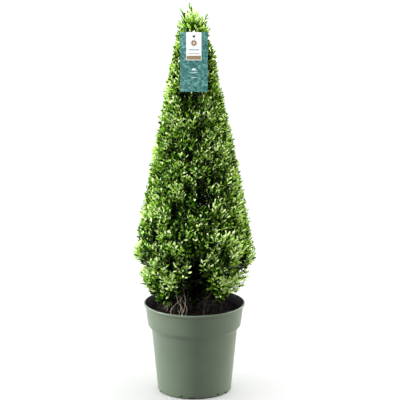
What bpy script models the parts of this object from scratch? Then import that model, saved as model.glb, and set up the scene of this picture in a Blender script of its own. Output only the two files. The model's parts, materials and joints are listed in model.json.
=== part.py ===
"""A potted Japanese holly, clipped to a slim pyramid, with its hang labels.

A turned nursery pot holds compost. A leader runs up from the compost through the crown, and a ring of
side stems carries the lowest foliage. The crown is clipped, so it is built as stacked masses: each is a
small core bent round the leader, with leafy shoots that stand out of it. A loose tuft grows on the tip.

Units are metres, +Z is up, the origin is the middle of the pot's flat underside, and the labels hang on
the -Y side. Run with: blender --background --python part.py
"""

import math
import random
from dataclasses import dataclass

import bmesh
import bpy
from mathutils import Matrix, Quaternion, Vector
from mathutils.bvhtree import BVHTree

MM = 0.001
UP = Vector((0, 0, 1))
CONTACT_GAP = 0.3 * MM

# Pot: a 26 cm round nursery container with a deep rim band and a shoulder below it.
POT_HEIGHT = 232 * MM
LIP_RADIUS = 130 * MM
LIP_BEAD = 3 * MM
BAND_TOP_RADIUS = 125.5 * MM
BAND_FOOT_RADIUS = 119.5 * MM
BAND_FOOT_Z = 172 * MM
SHOULDER_DROP = 9 * MM
SHOULDER_STEP = 9 * MM
FOOT_RADIUS = 95.5 * MM
FOOT_ROUNDING = 5 * MM
FOOT_RING_Z = 13 * MM
WALL = 2.2 * MM
BASE = 3 * MM
POT_STEPS = 36

# Drainage: arched notches in the foot, with a small hole beside each notch.
NOTCHES = 6
NOTCH_WIDTH = 25 * MM
NOTCH_HEIGHT = 6 * MM
FIRST_NOTCH_DEG = 266.5
DRAIN_HOLE_RADIUS = 2.6 * MM
DRAIN_HOLE_Z = 6.5 * MM
DRAIN_HOLE_OFFSET_DEG = -17.5

# Compost, a little below the rim.
SOIL_Z = 212 * MM
SOIL_FLAT_RADIUS = 96 * MM
SOIL_EDGE_DROP = 5 * MM

# Crown envelope: the clipped cone that the leaf tips reach.
CROWN_FOOT_Z = 250 * MM
CROWN_FOOT_RADIUS = 110 * MM
CROWN_WIDEST_Z = 385 * MM
CROWN_WIDEST_RADIUS = 154 * MM
CROWN_SHOULDER_Z = 930 * MM
CROWN_SHOULDER_RADIUS = 47 * MM
TUFT_TOP_Z = 1003 * MM
TUFT_TOP_RADIUS = 14 * MM
TRIM_TOLERANCE = 3 * MM

# Limbs.
LEADER_TOP_Z = 910 * MM
LEADER_BASE_RADIUS = 9.5 * MM
LEADER_TIP_RADIUS = 2.2 * MM
LEADER_SWAY = 2 * MM
LEADER_SIDES = 8
ROOT_FLARE = 1.6
FLARE_HEIGHT = 14 * MM

# Shoots and leaves.
SHOOT_RISE = 0.75
CORE_DEPTH = 30 * MM
CORE_LUMPS = 0.1
TWIG_RADIUS = 2.8 * MM
TWIG_TIP_RADIUS = 1.9 * MM
TWIG_SINK = 7 * MM
LEAF_LENGTH = 37 * MM
LEAF_WIDTH = 19 * MM
LEAF_THICKNESS = 1.8 * MM
LEAF_SINK = 0.5 * MM
CORE_LEAF_SINK = 2.5 * MM
LEAF_WIDEST = 0.58
LEAVES_ROUND_A_SHOOT = 4
LEAVES_ON_A_CORE = 18
GOLDEN_ANGLE = math.radians(137.508)

# Labels: a large card with a small tag in front, both threaded on one tie.
LABEL_HOLE = Vector((-1, -58, 925)) * MM
LABEL_LEAN_DEG = 9
HOLE_BELOW_TOP = 10 * MM
HOLE_RADIUS = 2.5 * MM
CARD_SIZE = (68 * MM, 146 * MM)
TAG_SIZE = (37.5 * MM, 69 * MM)
LABEL_THICKNESS = 0.8 * MM
LABEL_CORNER = 4 * MM
TIE_RADIUS = 0.8 * MM


# ---------------------------------------------------------------- helpers


def clear_scene():
    for thing in list(bpy.data.objects):
        bpy.data.objects.remove(thing, do_unlink=True)


def new_collection(name):
    collection = bpy.data.collections.new(name)
    bpy.context.scene.collection.children.link(collection)
    return collection


def make_material(name, colour, roughness, metallic=0.0):
    material = bpy.data.materials.new(name)
    material.use_nodes = True
    shader = material.node_tree.nodes["Principled BSDF"]
    shader.inputs["Base Color"].default_value = (*colour, 1.0)
    shader.inputs["Roughness"].default_value = roughness
    shader.inputs["Metallic"].default_value = metallic
    material.diffuse_color = (*colour, 1.0)
    return material


def add_object(name, data, collection, material=None):
    thing = bpy.data.objects.new(name, data)
    collection.objects.link(thing)
    if material:
        data.materials.append(material)
    return thing


def mesh_from_bmesh(name, bm):
    mesh = bpy.data.meshes.new(name)
    bm.to_mesh(mesh)
    bm.free()
    return mesh


def hide_helper(thing):
    thing.hide_render = True
    thing.display_type = "WIRE"


def polar(radius, azimuth, z):
    return Vector((radius * math.cos(azimuth), radius * math.sin(azimuth), z))


def mix(a, b, share):
    return a + (b - a) * share


def arc(centre, radius, start_deg, end_deg, count):
    """Points of a circular arc in the profile plane, as (radius, height) pairs."""
    angles = [math.radians(mix(start_deg, end_deg, i / (count - 1))) for i in range(count)]
    return [(centre[0] + radius * math.cos(a), centre[1] + radius * math.sin(a)) for a in angles]


def turned(name, profile, collection, material, steps=POT_STEPS):
    """A profile in the XZ plane, from axis to axis, turned round Z by a Screw modifier."""
    mesh = bpy.data.meshes.new(name)
    edges = [(i, i + 1) for i in range(len(profile) - 1)]
    mesh.from_pydata([(r, 0, z) for r, z in profile], edges, [])
    thing = add_object(name, mesh, collection, material)
    screw = thing.modifiers.new("Turn", "SCREW")
    screw.steps = screw.render_steps = steps
    screw.use_merge_vertices = True
    screw.merge_threshold = 0.00002
    screw.use_smooth_shade = True
    return thing


# ---------------------------------------------------------------- pot and compost


def wall_radius(z):
    """The pot's outer radius below the shoulder, a straight taper."""
    top = BAND_FOOT_RADIUS - SHOULDER_STEP
    top_z = BAND_FOOT_Z - SHOULDER_DROP
    return mix(FOOT_RADIUS, top, (z - FOOT_ROUNDING) / (top_z - FOOT_ROUNDING))


def pot_profile():
    """From the middle of the inner floor, up the inside, over the lip and down the outside."""
    shoulder_z = BAND_FOOT_Z - SHOULDER_DROP
    under_lip_z = POT_HEIGHT - 2.6 * LIP_BEAD
    bead = (LIP_RADIUS - LIP_BEAD, POT_HEIGHT - LIP_BEAD)
    inside = [
        (0, BASE),
        (FOOT_RADIUS - FOOT_ROUNDING - WALL, BASE),
        (wall_radius(FOOT_RING_Z) - WALL, FOOT_RING_Z),
        (wall_radius(shoulder_z) - WALL, shoulder_z + WALL / 2),
        (BAND_FOOT_RADIUS - WALL, BAND_FOOT_Z + WALL / 2),
        (BAND_TOP_RADIUS - WALL, under_lip_z),
    ]
    outside = [
        (LIP_RADIUS - 0.4 * MM, POT_HEIGHT - 2 * LIP_BEAD),
        (BAND_TOP_RADIUS + 0.6 * MM, under_lip_z),
        (BAND_FOOT_RADIUS + 0.4 * MM, BAND_FOOT_Z + 3 * MM),
        (BAND_FOOT_RADIUS - 1.2 * MM, BAND_FOOT_Z),
        (wall_radius(shoulder_z), shoulder_z),
        (wall_radius(FOOT_RING_Z), FOOT_RING_Z),
    ]
    foot_centre = (FOOT_RADIUS - FOOT_ROUNDING, FOOT_ROUNDING)
    foot = arc(foot_centre, FOOT_ROUNDING, 0, -90, 3)
    return inside + arc(bead, LIP_BEAD, 180, 0, 5) + outside + foot + [(0, 0)]


def drain_cutters(collection):
    """Notches are short lying cylinders, sunk so that only an arch of them bites the foot."""
    arch_radius = (NOTCH_WIDTH**2 / 4 + NOTCH_HEIGHT**2) / (2 * NOTCH_HEIGHT)
    for n in range(NOTCHES):
        azimuth = math.radians(FIRST_NOTCH_DEG + 360 * n / NOTCHES)
        beside = azimuth + math.radians(DRAIN_HOLE_OFFSET_DEG)
        drill("notch", azimuth, arch_radius, NOTCH_HEIGHT - arch_radius, 22 * MM, collection, 20)
        drill("drain", beside, DRAIN_HOLE_RADIUS, DRAIN_HOLE_Z, 16 * MM, collection, 6)


def drill(name, azimuth, radius, z, depth, collection, sides):
    """A horizontal cylinder that enters the foot from outside, along the given azimuth."""
    bm = bmesh.new()
    bmesh.ops.create_cone(
        bm, cap_ends=True, segments=sides, radius1=radius, radius2=radius, depth=2 * depth
    )
    cutter = add_object(name, mesh_from_bmesh(name, bm), collection)
    cutter.location = polar(FOOT_RADIUS + depth / 3, azimuth, z)
    cutter.rotation_euler = (math.pi / 2, 0, azimuth + math.pi / 2)
    hide_helper(cutter)


def make_pot(parts, cutters, material):
    pot = turned("pot", pot_profile(), parts, material)
    drain_cutters(cutters)
    cut = pot.modifiers.new("Drainage", "BOOLEAN")
    cut.operation = "DIFFERENCE"
    cut.operand_type = "COLLECTION"
    cut.collection = cutters
    return pot


def make_compost(parts, material):
    """Fills the pot, 0.3 mm clear of its wall, flat where the stems stand."""
    shoulder_z = BAND_FOOT_Z - SHOULDER_DROP
    inset = WALL + CONTACT_GAP
    edge_z = SOIL_Z - SOIL_EDGE_DROP
    band_share = (edge_z - BAND_FOOT_Z) / (POT_HEIGHT - 2.6 * LIP_BEAD - BAND_FOOT_Z)
    profile = [
        (0, SOIL_Z),
        (SOIL_FLAT_RADIUS, SOIL_Z),
        (mix(BAND_FOOT_RADIUS, BAND_TOP_RADIUS, band_share) - inset - 1 * MM, edge_z),
        (BAND_FOOT_RADIUS - inset - 0.6 * MM, BAND_FOOT_Z + WALL),
        (wall_radius(shoulder_z) - inset - 0.3 * MM, shoulder_z + WALL),
        (wall_radius(FOOT_RING_Z) - inset - 0.3 * MM, FOOT_RING_Z + 0.5 * MM),
        (FOOT_RADIUS - FOOT_ROUNDING - inset - 0.3 * MM, BASE + CONTACT_GAP),
        (0, BASE + CONTACT_GAP),
    ]
    return turned("compost", profile, parts, material)


# ---------------------------------------------------------------- limbs


def leader_centre(z):
    """The leader's middle at a height: it sways a little and stands over the origin at both ends."""
    share = (z - SOIL_Z) / (LEADER_TOP_Z - SOIL_Z)
    sway = LEADER_SWAY * math.sin(math.pi * min(max(share, 0), 1)) ** 2
    return Vector((sway * math.cos(5 * share), sway * math.sin(4 * share), z))


def leader_radius(z):
    share = (z - SOIL_Z) / (LEADER_TOP_Z - SOIL_Z)
    return mix(LEADER_BASE_RADIUS, LEADER_TIP_RADIUS, min(max(share, 0), 1) ** 0.85)


def limb(name, points, radii, parts, material, resolution=1):
    """One tapering stem: a poly curve with a radius at each point and filled, welded caps."""
    curve = bpy.data.curves.new(name, "CURVE")
    curve.dimensions = "3D"
    curve.bevel_depth = 1.0
    curve.bevel_resolution = resolution
    curve.use_fill_caps = True
    spline = curve.splines.new("POLY")
    spline.points.add(len(points) - 1)
    for knot, point, radius in zip(spline.points, points, radii):
        knot.co = (*point, 1)
        knot.radius = radius
    return add_object(name, curve, parts, material)


def leader_stations():
    """Heights along the leader: close together in the root flare, even above it."""
    foot = SOIL_Z + CONTACT_GAP
    even = [mix(foot + 2 * FLARE_HEIGHT, LEADER_TOP_Z - 20 * MM, i / 9) for i in range(10)]
    return [foot, foot + 0.4 * FLARE_HEIGHT, foot + FLARE_HEIGHT] + even + [LEADER_TOP_Z]


def make_leader(parts, material):
    stations = leader_stations()
    points = [leader_centre(z) for z in stations]
    for i in (0, -2):  # vertical end segments keep the cuts level
        points[i] = Vector((points[i + 1].x, points[i + 1].y, stations[i]))
    flare = [ROOT_FLARE, mix(ROOT_FLARE, 1, 0.6), 1.08] + [1] * (len(stations) - 3)
    radii = [leader_radius(z) * f for z, f in zip(stations, flare)]
    return limb("leader", points, radii, parts, material, resolution=2)


@dataclass
class SideStem:
    """A basal stem: where its foot stands, where it enters the lowest foliage, and how thick it is."""

    name: str
    foot_deg: float
    foot_radius: float
    top_deg: float
    top_radius: float
    thickness: float


SIDE_STEMS = [
    SideStem("side_stem_left_outer", 191, 78 * MM, 197, 86 * MM, 3.0 * MM),
    SideStem("side_stem_left_mid", 203, 60 * MM, 212, 82 * MM, 3.4 * MM),
    SideStem("side_stem_left_upright", 215, 50 * MM, 226, 62 * MM, 4.6 * MM),
    SideStem("side_stem_front_left", 232, 46 * MM, 247, 78 * MM, 3.6 * MM),
    SideStem("side_stem_front_right", 302, 44 * MM, 296, 76 * MM, 3.4 * MM),
    SideStem("side_stem_right_front", 326, 56 * MM, 330, 72 * MM, 4.0 * MM),
    SideStem("side_stem_right", 348, 52 * MM, 350, 84 * MM, 3.2 * MM),
    SideStem("side_stem_back_right", 28, 50 * MM, 24, 80 * MM, 3.8 * MM),
    SideStem("side_stem_back", 66, 46 * MM, 64, 70 * MM, 3.4 * MM),
    SideStem("side_stem_back_left", 112, 48 * MM, 118, 78 * MM, 3.8 * MM),
    SideStem("side_stem_left_back", 150, 54 * MM, 156, 82 * MM, 3.2 * MM),
]


def side_stem_points(stem):
    """Foot, bow and tip. The first and last stretches are vertical, for level cuts."""
    foot = polar(stem.foot_radius, math.radians(stem.foot_deg), SOIL_Z + CONTACT_GAP)
    top = polar(stem.top_radius, math.radians(stem.top_deg), SKIRT_CORE_Z - CONTACT_GAP)
    rise = top.z - foot.z
    low = foot + UP * (0.1 * rise)
    high = top - UP * (0.1 * rise)
    bow = low.lerp(high, 0.5) + Vector((foot.x, foot.y, 0)) * 0.1
    return [foot, low, bow, high, top]


def make_side_stems(parts, material):
    taper = (1.35, 1.05, 0.95, 0.85, 0.85)
    for stem in SIDE_STEMS:
        radii = [stem.thickness / 2 * t for t in taper]
        limb(stem.name, side_stem_points(stem), radii, parts, material)


# ---------------------------------------------------------------- crown: space and cores


def envelope_radius(z):
    """The clipped outline: rounded in below the widest height, a straight cone above, then the tuft."""
    if z < CROWN_WIDEST_Z:
        share = (CROWN_WIDEST_Z - z) / (CROWN_WIDEST_Z - CROWN_FOOT_Z)
        return mix(CROWN_WIDEST_RADIUS, CROWN_FOOT_RADIUS, min(share, 1) ** 2)
    if z < CROWN_SHOULDER_Z:
        share = (z - CROWN_WIDEST_Z) / (CROWN_SHOULDER_Z - CROWN_WIDEST_Z)
        return mix(CROWN_WIDEST_RADIUS, CROWN_SHOULDER_RADIUS, share)
    share = (z - CROWN_SHOULDER_Z) / (TUFT_TOP_Z - CROWN_SHOULDER_Z)
    return mix(CROWN_SHOULDER_RADIUS, TUFT_TOP_RADIUS, share**1.5)


MASS_GAP = 0.9 * MM
CORE_CLEARANCE = 0.5 * MM
CORE_STEPS = 3
SKIRT_CORE_Z = 296 * MM
SKIRT_FLOOR_Z = 240 * MM
# Heights on the outline where one tier of the crown gives way to the next.
TIER_EDGES_Z = (385 * MM, 525 * MM, 685 * MM, 938 * MM)


def tier_cone(edge_z):
    """Height at the axis of the cone, rising outwards with the shoots, that parts two tiers."""
    return edge_z - SHOOT_RISE * envelope_radius(edge_z)


@dataclass
class Space:
    """The room that one mass keeps to: between two cones, inside the outline, between two seams."""

    name: str
    floor: float
    ceiling: float
    start_deg: float
    end_deg: float
    rows: int
    columns: int
    flat_floor: bool = False
    core_inner: float = 0.0

    def floor_at(self, radius):
        return self.floor if self.flat_floor else self.floor + SHOOT_RISE * radius

    def holds(self, point, margin=0.0):
        radius = math.hypot(point.x, point.y)
        margin += MASS_GAP
        if not self.floor_at(radius) + margin < point.z < self.ceiling + SHOOT_RISE * radius - margin:
            return False
        if radius > envelope_radius(point.z) + TRIM_TOLERANCE:
            return False
        azimuth = math.atan2(point.y, point.x)
        if self.end_deg - self.start_deg >= 360:
            return True
        from_start = radius * math.sin(azimuth - math.radians(self.start_deg))
        from_end = radius * math.sin(math.radians(self.end_deg) - azimuth)
        return min(from_start, from_end) > margin


def tier_spaces():
    """Masses named for the side they grow on, tier by tier; each tier's seams miss the next one's."""
    skirt_top, lower_top, middle_top, upper_top = (tier_cone(z) for z in TIER_EDGES_Z)
    quarters = (("front_left", 180), ("front_right", 270), ("back_right", 0), ("back_left", 90))
    sides = (("front", 225), ("right", 315), ("back", 45), ("left", 135))
    thirds = (("front", 210), ("back_right", 330), ("back_left", 90))
    halves = (("front", 180), ("back", 0))
    spaces = [
        Space(f"skirt_{side}", SKIRT_FLOOR_Z, skirt_top, start, start + 90, 2, 3, True, 44 * MM)
        for side, start in quarters
    ]
    tiers = (
        ("lower", skirt_top, lower_top, sides, 90, 2),
        ("middle", lower_top, middle_top, thirds, 120, 2),
        ("upper", middle_top, upper_top, halves, 180, 4),
    )
    for tier, floor, ceiling, starts, span, rows in tiers:
        spaces += [Space(f"{tier}_{side}", floor, ceiling, start, start + span, rows, 3) for side, start in starts]
    return spaces


def core_radius(z):
    return max(envelope_radius(z) - CORE_DEPTH, 0.3 * envelope_radius(z))


def core_point(space, across, outward, upward):
    """Maps a unit cube to the core's room: across its seams, out from the leader, up its tier."""
    low = space.floor + MASS_GAP
    high = space.ceiling - MASS_GAP
    span = math.radians(space.end_deg - space.start_deg)
    flattened = math.cos(span / CORE_STEPS / 2)  # keeps the chords of the top face under its cone
    radius = 0.0
    z = 0.0
    for _ in range(8):  # the tier's cones tilt, so height and radius settle together
        floor = SKIRT_CORE_Z if space.flat_floor else low + SHOOT_RISE * radius
        z = mix(floor, high + SHOOT_RISE * radius * flattened, upward)
        beside_leader = (leader_radius(z) + CORE_CLEARANCE) / math.cos(math.pi / LEADER_SIDES)
        inner = space.core_inner or beside_leader
        radius = mix(inner, core_radius(z), outward)
    seam = math.asin(min(MASS_GAP / max(radius, MASS_GAP * 1.5), 1))
    start = math.radians(space.start_deg)
    azimuth = mix(start + seam, start + span - seam, across)
    middle = leader_centre(z)
    return polar(radius, azimuth, z) + Vector((middle.x, middle.y, 0)) * (1 - outward)


def rounded(share):
    """How far an outer edge of the core draws in, as a share of its depth."""
    return 0.05 * (2 * abs(share - 0.5)) ** 4


def core(space, material, rng):
    """A block bent round the leader: the dark heart of a mass, with lumps on its outer face."""
    bm = bmesh.new()
    shares = [n / CORE_STEPS for n in range(CORE_STEPS + 1)]
    faces = []
    for outward in (0, 1):
        grid = []
        for upward in shares:
            row = []
            for across in shares:
                lump = outward * (rounded(across) + rounded(upward) + rng.uniform(-0.2, 0.8) * CORE_LUMPS)
                row.append(bm.verts.new(core_point(space, across, outward - lump, upward)))
            grid.append(row)
        faces.append(grid)
    for grid in faces:
        for low, high in zip(grid, grid[1:]):
            strip(bm, low, high)
    inner, outer = faces
    for row in (0, -1):
        strip(bm, inner[row], outer[row])
        strip(bm, [g[row] for g in inner], [g[row] for g in outer])
    bmesh.ops.triangulate(bm, faces=bm.faces)
    bmesh.ops.recalc_face_normals(bm, faces=bm.faces)
    thing = bpy.data.objects.new(space.name, mesh_from_bmesh(space.name, bm))
    thing.data.materials.append(material)
    return thing


def strip(bm, low, high):
    """Quads between two rows of vertices."""
    for n in range(len(low) - 1):
        bm.faces.new((low[n], low[n + 1], high[n + 1], high[n]))


# ---------------------------------------------------------------- crown: shoots and leaves


@dataclass
class Obstacle:
    """A limb or tie that foliage stays clear of: a stretch between two points, with a radius."""

    start: Vector
    end: Vector
    radius: float

    def touches(self, point, margin):
        along = self.end - self.start
        share = (point - self.start).dot(along) / max(along.length_squared, 1e-12)
        nearest = self.start + along * min(max(share, 0), 1)
        return (point - nearest).length < self.radius + margin


def chain(points, radius):
    return [Obstacle(a, b, radius) for a, b in zip(points, points[1:])]


def obstacles():
    found = chain([leader_centre(z) for z in leader_stations()], LEADER_BASE_RADIUS)
    for stem in SIDE_STEMS:
        found += chain(side_stem_points(stem), stem.thickness)
    loop = tie_points()
    return found + chain(loop + loop[:1], 2 * TIE_RADIUS)


def label_frame():
    """Places a label: its own X runs across, Y up its face, Z out of its front."""
    lean = Matrix.Rotation(math.radians(90 - LABEL_LEAN_DEG), 4, "X")
    return Matrix.Translation(LABEL_HOLE) @ lean


def behind_labels(point):
    """False for a point on or in front of the card, where no leaf may stand."""
    width, height = CARD_SIZE
    local = label_frame().inverted() @ point
    margin = 3 * MM
    in_reach = abs(local.x) < width / 2 + margin and -height < local.y - HOLE_BELOW_TOP - margin < margin
    return not (in_reach and local.z > -margin)


def leaf_mesh():
    """An eight-faced leaf: a four-sided sphere of two rings, flattened, widest past its middle."""
    bm = bmesh.new()
    bmesh.ops.create_uvsphere(bm, u_segments=4, v_segments=2, radius=1)
    for vertex in bm.verts:
        x, y, z = vertex.co
        height = (z + 1) / 2 if abs(z) > 0.5 else LEAF_WIDEST
        vertex.co = (x * LEAF_WIDTH / 2, y * LEAF_THICKNESS / 2, height * LEAF_LENGTH)
    return mesh_from_bmesh("leaf", bm)


def twig_mesh():
    """A three-sided twig one metre long, scaled to its length where it is placed."""
    bm = bmesh.new()
    bmesh.ops.create_cone(
        bm, cap_ends=True, segments=3, radius1=TWIG_RADIUS, radius2=TWIG_TIP_RADIUS, depth=1
    )
    bmesh.ops.translate(bm, verts=bm.verts, vec=(0, 0, 0.5))
    return mesh_from_bmesh("twig", bm)


def aim(origin, direction, roll, stretch=1.0):
    turn = direction.to_track_quat("Z", "Y") @ Quaternion(UP, roll)
    return Matrix.LocRotScale(origin, turn, Vector((1, 1, stretch)))


LEAF_CORNERS = [(0, 0, 0), (1, 0, LEAF_WIDEST), (0, 1, LEAF_WIDEST), (-1, 0, LEAF_WIDEST),
                (0, -1, LEAF_WIDEST), (0, 0, 1)]
LEAF_FACES = [(0, i, i % 4 + 1) for i in range(1, 5)] + [(5, i % 4 + 1, i) for i in range(1, 5)]
LEAF_TRIES = 6
SHOOT_TRIES = 8
OUT_OF_THE_TWIG = 0.16


@dataclass
class Grower:
    """Places twigs and leaves of one mass. It skips what would leave the mass's space, touch a limb or
    cross a leaf, a twig or the core, so that the pieces meet only where they grow out of each other."""

    space: Space
    blocked: list
    twig: bpy.types.Mesh
    leaf: bpy.types.Mesh
    rng: random.Random
    pieces: bpy.types.Collection
    placed: list

    def free(self, point, margin, space_margin=0.0):
        inside = self.space.holds(point, space_margin) and behind_labels(point)
        return inside and not any(limb.touches(point, margin) for limb in self.blocked)

    def crosses(self, shape):
        return any(shape.overlap(other) for other in self.placed)

    def add_leaf(self, origin, direction, roll):
        """True if there was room for a leaf from this point of a twig, along this direction."""
        place = aim(origin - direction * LEAF_SINK, direction, roll)
        half = (LEAF_WIDTH / 2, LEAF_THICKNESS / 2)
        corners = [
            place @ Vector((x * half[0], y * half[1], max(z, OUT_OF_THE_TWIG) * LEAF_LENGTH))
            for x, y, z in LEAF_CORNERS
        ]
        between = [corners[c].lerp(corners[5], share) for c, share in ((0, 0.45), (1, 0.5), (3, 0.5))]
        if not all(self.free(p, 1 * MM) for p in corners + between):
            return False
        shape = BVHTree.FromPolygons(corners, LEAF_FACES)
        if self.crosses(shape):
            return False
        self.placed.append(shape)
        add_object("leaf", self.leaf, self.pieces).matrix_world = place
        return True

    def add_shoot(self, root, direction, length, bare, leaves):
        """A straight twig, bare at its foot, with leaves spiralling up it and one at its end.

        False if it has no room.
        """
        tip = root + direction * length
        if not all(self.free(root.lerp(tip, s), TWIG_RADIUS, TWIG_RADIUS) for s in (0.3, 0.55, 0.8, 1)):
            return False
        side = direction.orthogonal().normalized() * TWIG_RADIUS
        ring = [Quaternion(direction, a) @ side for a in (0, 2.1, 4.2)]
        path = [root.lerp(tip, bare / length) + r for r in ring] + [tip + r for r in ring]
        shape = BVHTree.FromPolygons(path, [(0, 1, 4, 3), (1, 2, 5, 4), (2, 0, 3, 5)])
        if self.crosses(shape):
            return False
        place = aim(root, direction, self.rng.uniform(0, 2), length)
        add_object("twig", self.twig, self.pieces).matrix_world = place
        self.add_leaf(tip - direction * TWIG_TIP_RADIUS, direction, self.rng.uniform(0, 3))
        turn = self.rng.uniform(0, 2 * math.pi)
        for n in range(leaves):
            share = 1 - 0.9 * n / leaves
            origin = root.lerp(tip, mix(bare / length, 0.94, share))
            for _ in range(LEAF_TRIES):
                around = Quaternion(direction, turn + self.rng.uniform(-0.6, 0.6)) @ side.normalized()
                spread = math.radians(mix(66, 44, share) + self.rng.uniform(-8, 8))
                way = (direction * math.cos(spread) + around * math.sin(spread)).normalized()
                turn += GOLDEN_ANGLE
                if self.add_leaf(origin, way, self.rng.uniform(-0.6, 0.6)):
                    break
        self.placed.append(shape)
        return True


def shoot_from_core(grower, across, upward, leaves):
    """A shoot rooted in the core's outer face, grown up and out until its leaves meet the outline."""
    root = core_point(grower.space, across, 1, upward)
    outward = Vector((root.x, root.y, 0)).normalized()
    aside = UP.cross(outward) * grower.rng.uniform(-0.35, 0.35)
    rise = SHOOT_RISE * grower.rng.uniform(0.5, 1.3)
    if grower.space.flat_floor:
        rise *= mix(-0.7, 1, upward)
    direction = (outward + aside + UP * rise).normalized()
    reach = TWIG_SINK
    while reach < 4 * CORE_DEPTH and not is_outside(root + direction * (reach + LEAF_LENGTH)):
        reach += 1 * MM
    surface = grower.placed[0].ray_cast(root + direction * CORE_DEPTH, -direction)[0] or root
    foot = surface - direction * TWIG_SINK
    length = (root + direction * reach - foot).length
    return grower.add_shoot(foot, direction, length, TWIG_SINK + 3 * MM, leaves)


def is_outside(point):
    return math.hypot(point.x, point.y) > envelope_radius(point.z)


def leaf_on_core(grower, across, upward):
    """A single leaf that stands out of the core between the shoots."""
    root = core_point(grower.space, across, 1, upward)
    outward = Vector((root.x, root.y, 0)).normalized()
    aside = UP.cross(outward) * grower.rng.uniform(-0.7, 0.7)
    direction = (outward + aside + UP * grower.rng.uniform(-0.1, 1.1)).normalized()
    surface = grower.placed[0].ray_cast(root + direction * CORE_DEPTH, -direction)[0]
    if not surface:
        return False
    return grower.add_leaf(surface - direction * CORE_LEAF_SINK, direction, grower.rng.uniform(-0.8, 0.8))


def spread_out(number):
    """A pair of even shares for this number of a low-discrepancy sequence."""
    return (number * 0.754878) % 1, (number * 0.569840) % 1


def fuse(thing, pieces):
    """Joins the pieces to the core with one union, then keeps only its largest closed body."""
    join = thing.modifiers.new("Fuse", "BOOLEAN")
    join.operation = "UNION"
    join.operand_type = "COLLECTION"
    join.collection = pieces
    join.solver = "EXACT"
    bpy.context.view_layer.update()
    material = thing.data.materials[0]
    graph = bpy.context.evaluated_depsgraph_get()
    thing.data = bpy.data.meshes.new_from_object(thing.evaluated_get(graph))
    thing.data.materials.clear()
    thing.data.materials.append(material)
    thing.modifiers.clear()
    for piece in list(pieces.objects):
        bpy.data.objects.remove(piece, do_unlink=True)
    bpy.data.collections.remove(pieces)
    keep_largest_body(thing.data)


def keep_largest_body(mesh):
    """Drops loose scraps, and the inner skins of hollows that fusing sealed."""
    bm = bmesh.new()
    bm.from_mesh(mesh)
    left = set(bm.verts)
    bodies = []
    while left:
        body = {left.pop()}
        edge = list(body)
        while edge:
            near = {e.other_vert(v) for v in edge for e in v.link_edges} - body
            body |= near
            edge = list(near)
        left -= body
        bodies.append(body)
    largest = max(bodies, key=len)
    bmesh.ops.delete(bm, geom=[v for v in bm.verts if v not in largest], context="VERTS")
    bm.to_mesh(mesh)
    bm.free()


def make_masses(parts, material):
    blocked = obstacles()
    twig = twig_mesh()
    leaf = leaf_mesh()
    for number, space in enumerate(tier_spaces()):
        rng = random.Random(100 + number)
        heart = core(space, material, rng)
        parts.objects.link(heart)
        pieces = new_collection(space.name + "_pieces")
        corners = [v.co for v in heart.data.vertices]
        surface = BVHTree.FromPolygons(corners, [p.vertices for p in heart.data.polygons])
        grower = Grower(space, blocked, twig, leaf, rng, pieces, [surface])
        for row in range(space.rows):
            for column in range(space.columns):
                across = (column + 0.5 + 0.25 * (-1) ** row) / space.columns
                upward = (row + 0.5) / space.rows
                for _ in range(SHOOT_TRIES):
                    nudge = (rng.uniform(-0.04, 0.04), rng.uniform(-0.08, 0.08))
                    if shoot_from_core(grower, across + nudge[0], upward + nudge[1], LEAVES_ROUND_A_SHOOT):
                        break
        grown = 0
        for number in range(LEAF_TRIES * LEAVES_ON_A_CORE):
            across, upward = spread_out(number)
            grown += grown < LEAVES_ON_A_CORE and leaf_on_core(grower, across, upward)
        fuse(heart, pieces)


# ---------------------------------------------------------------- tip tuft


TUFT_SHOOTS = 8
TUFT_STEM_RADIUS = 2.0 * MM


def make_tuft(parts, material):
    """The loose head of long shoots: one stem on the leader's tip, with shoots fanning out of it."""
    space = Space("tip_tuft", tier_cone(TIER_EDGES_Z[-1]), 2 * TUFT_TOP_Z, 0, 360, 0, 0)
    rng = random.Random(7)
    pieces = new_collection("tip_tuft_pieces")
    foot = leader_centre(LEADER_TOP_Z) + UP * CONTACT_GAP
    bm = bmesh.new()
    height = TUFT_TOP_Z - foot.z - 1.1 * LEAF_LENGTH
    bmesh.ops.create_cone(
        bm, cap_ends=True, segments=6, radius1=TUFT_STEM_RADIUS, radius2=TWIG_TIP_RADIUS, depth=height
    )
    bmesh.ops.translate(bm, verts=bm.verts, vec=foot + UP * height / 2)
    stem = add_object("tip_tuft", mesh_from_bmesh("tip_tuft", bm), parts, material)
    grower = Grower(space, obstacles(), twig_mesh(), leaf_mesh(), rng, pieces, [])
    for n in range(TUFT_SHOOTS):
        share = n / TUFT_SHOOTS
        root = foot + UP * mix(0.1, 0.85, share) * height
        for _ in range(SHOOT_TRIES):
            spread = math.radians(mix(68, 26, share) + rng.uniform(-8, 8))
            azimuth = n * GOLDEN_ANGLE + rng.uniform(-0.5, 0.5)
            direction = polar(math.sin(spread), azimuth, math.cos(spread))
            if grower.add_shoot(root, direction, mix(26, 16, share) * MM, 5 * MM, 4):
                break
    grower.add_leaf(foot + UP * (height - 1 * MM), (UP + Vector((-0.25, 0, 0))).normalized(), 0.4)
    fuse(stem, pieces)


# ---------------------------------------------------------------- labels


def rounded_rectangle(width, height, centre_y, corner, per_corner=4):
    points = []
    for quarter, (sx, sy) in enumerate(((1, 1), (-1, 1), (-1, -1), (1, -1))):
        middle = (sx * (width / 2 - corner), centre_y + sy * (height / 2 - corner))
        points += arc(middle, corner, 90 * quarter, 90 * quarter + 90, per_corner)
    return points


def circle(radius, sides=12):
    return arc((0, 0), radius, 0, 360 - 360 / sides, sides)


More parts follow.
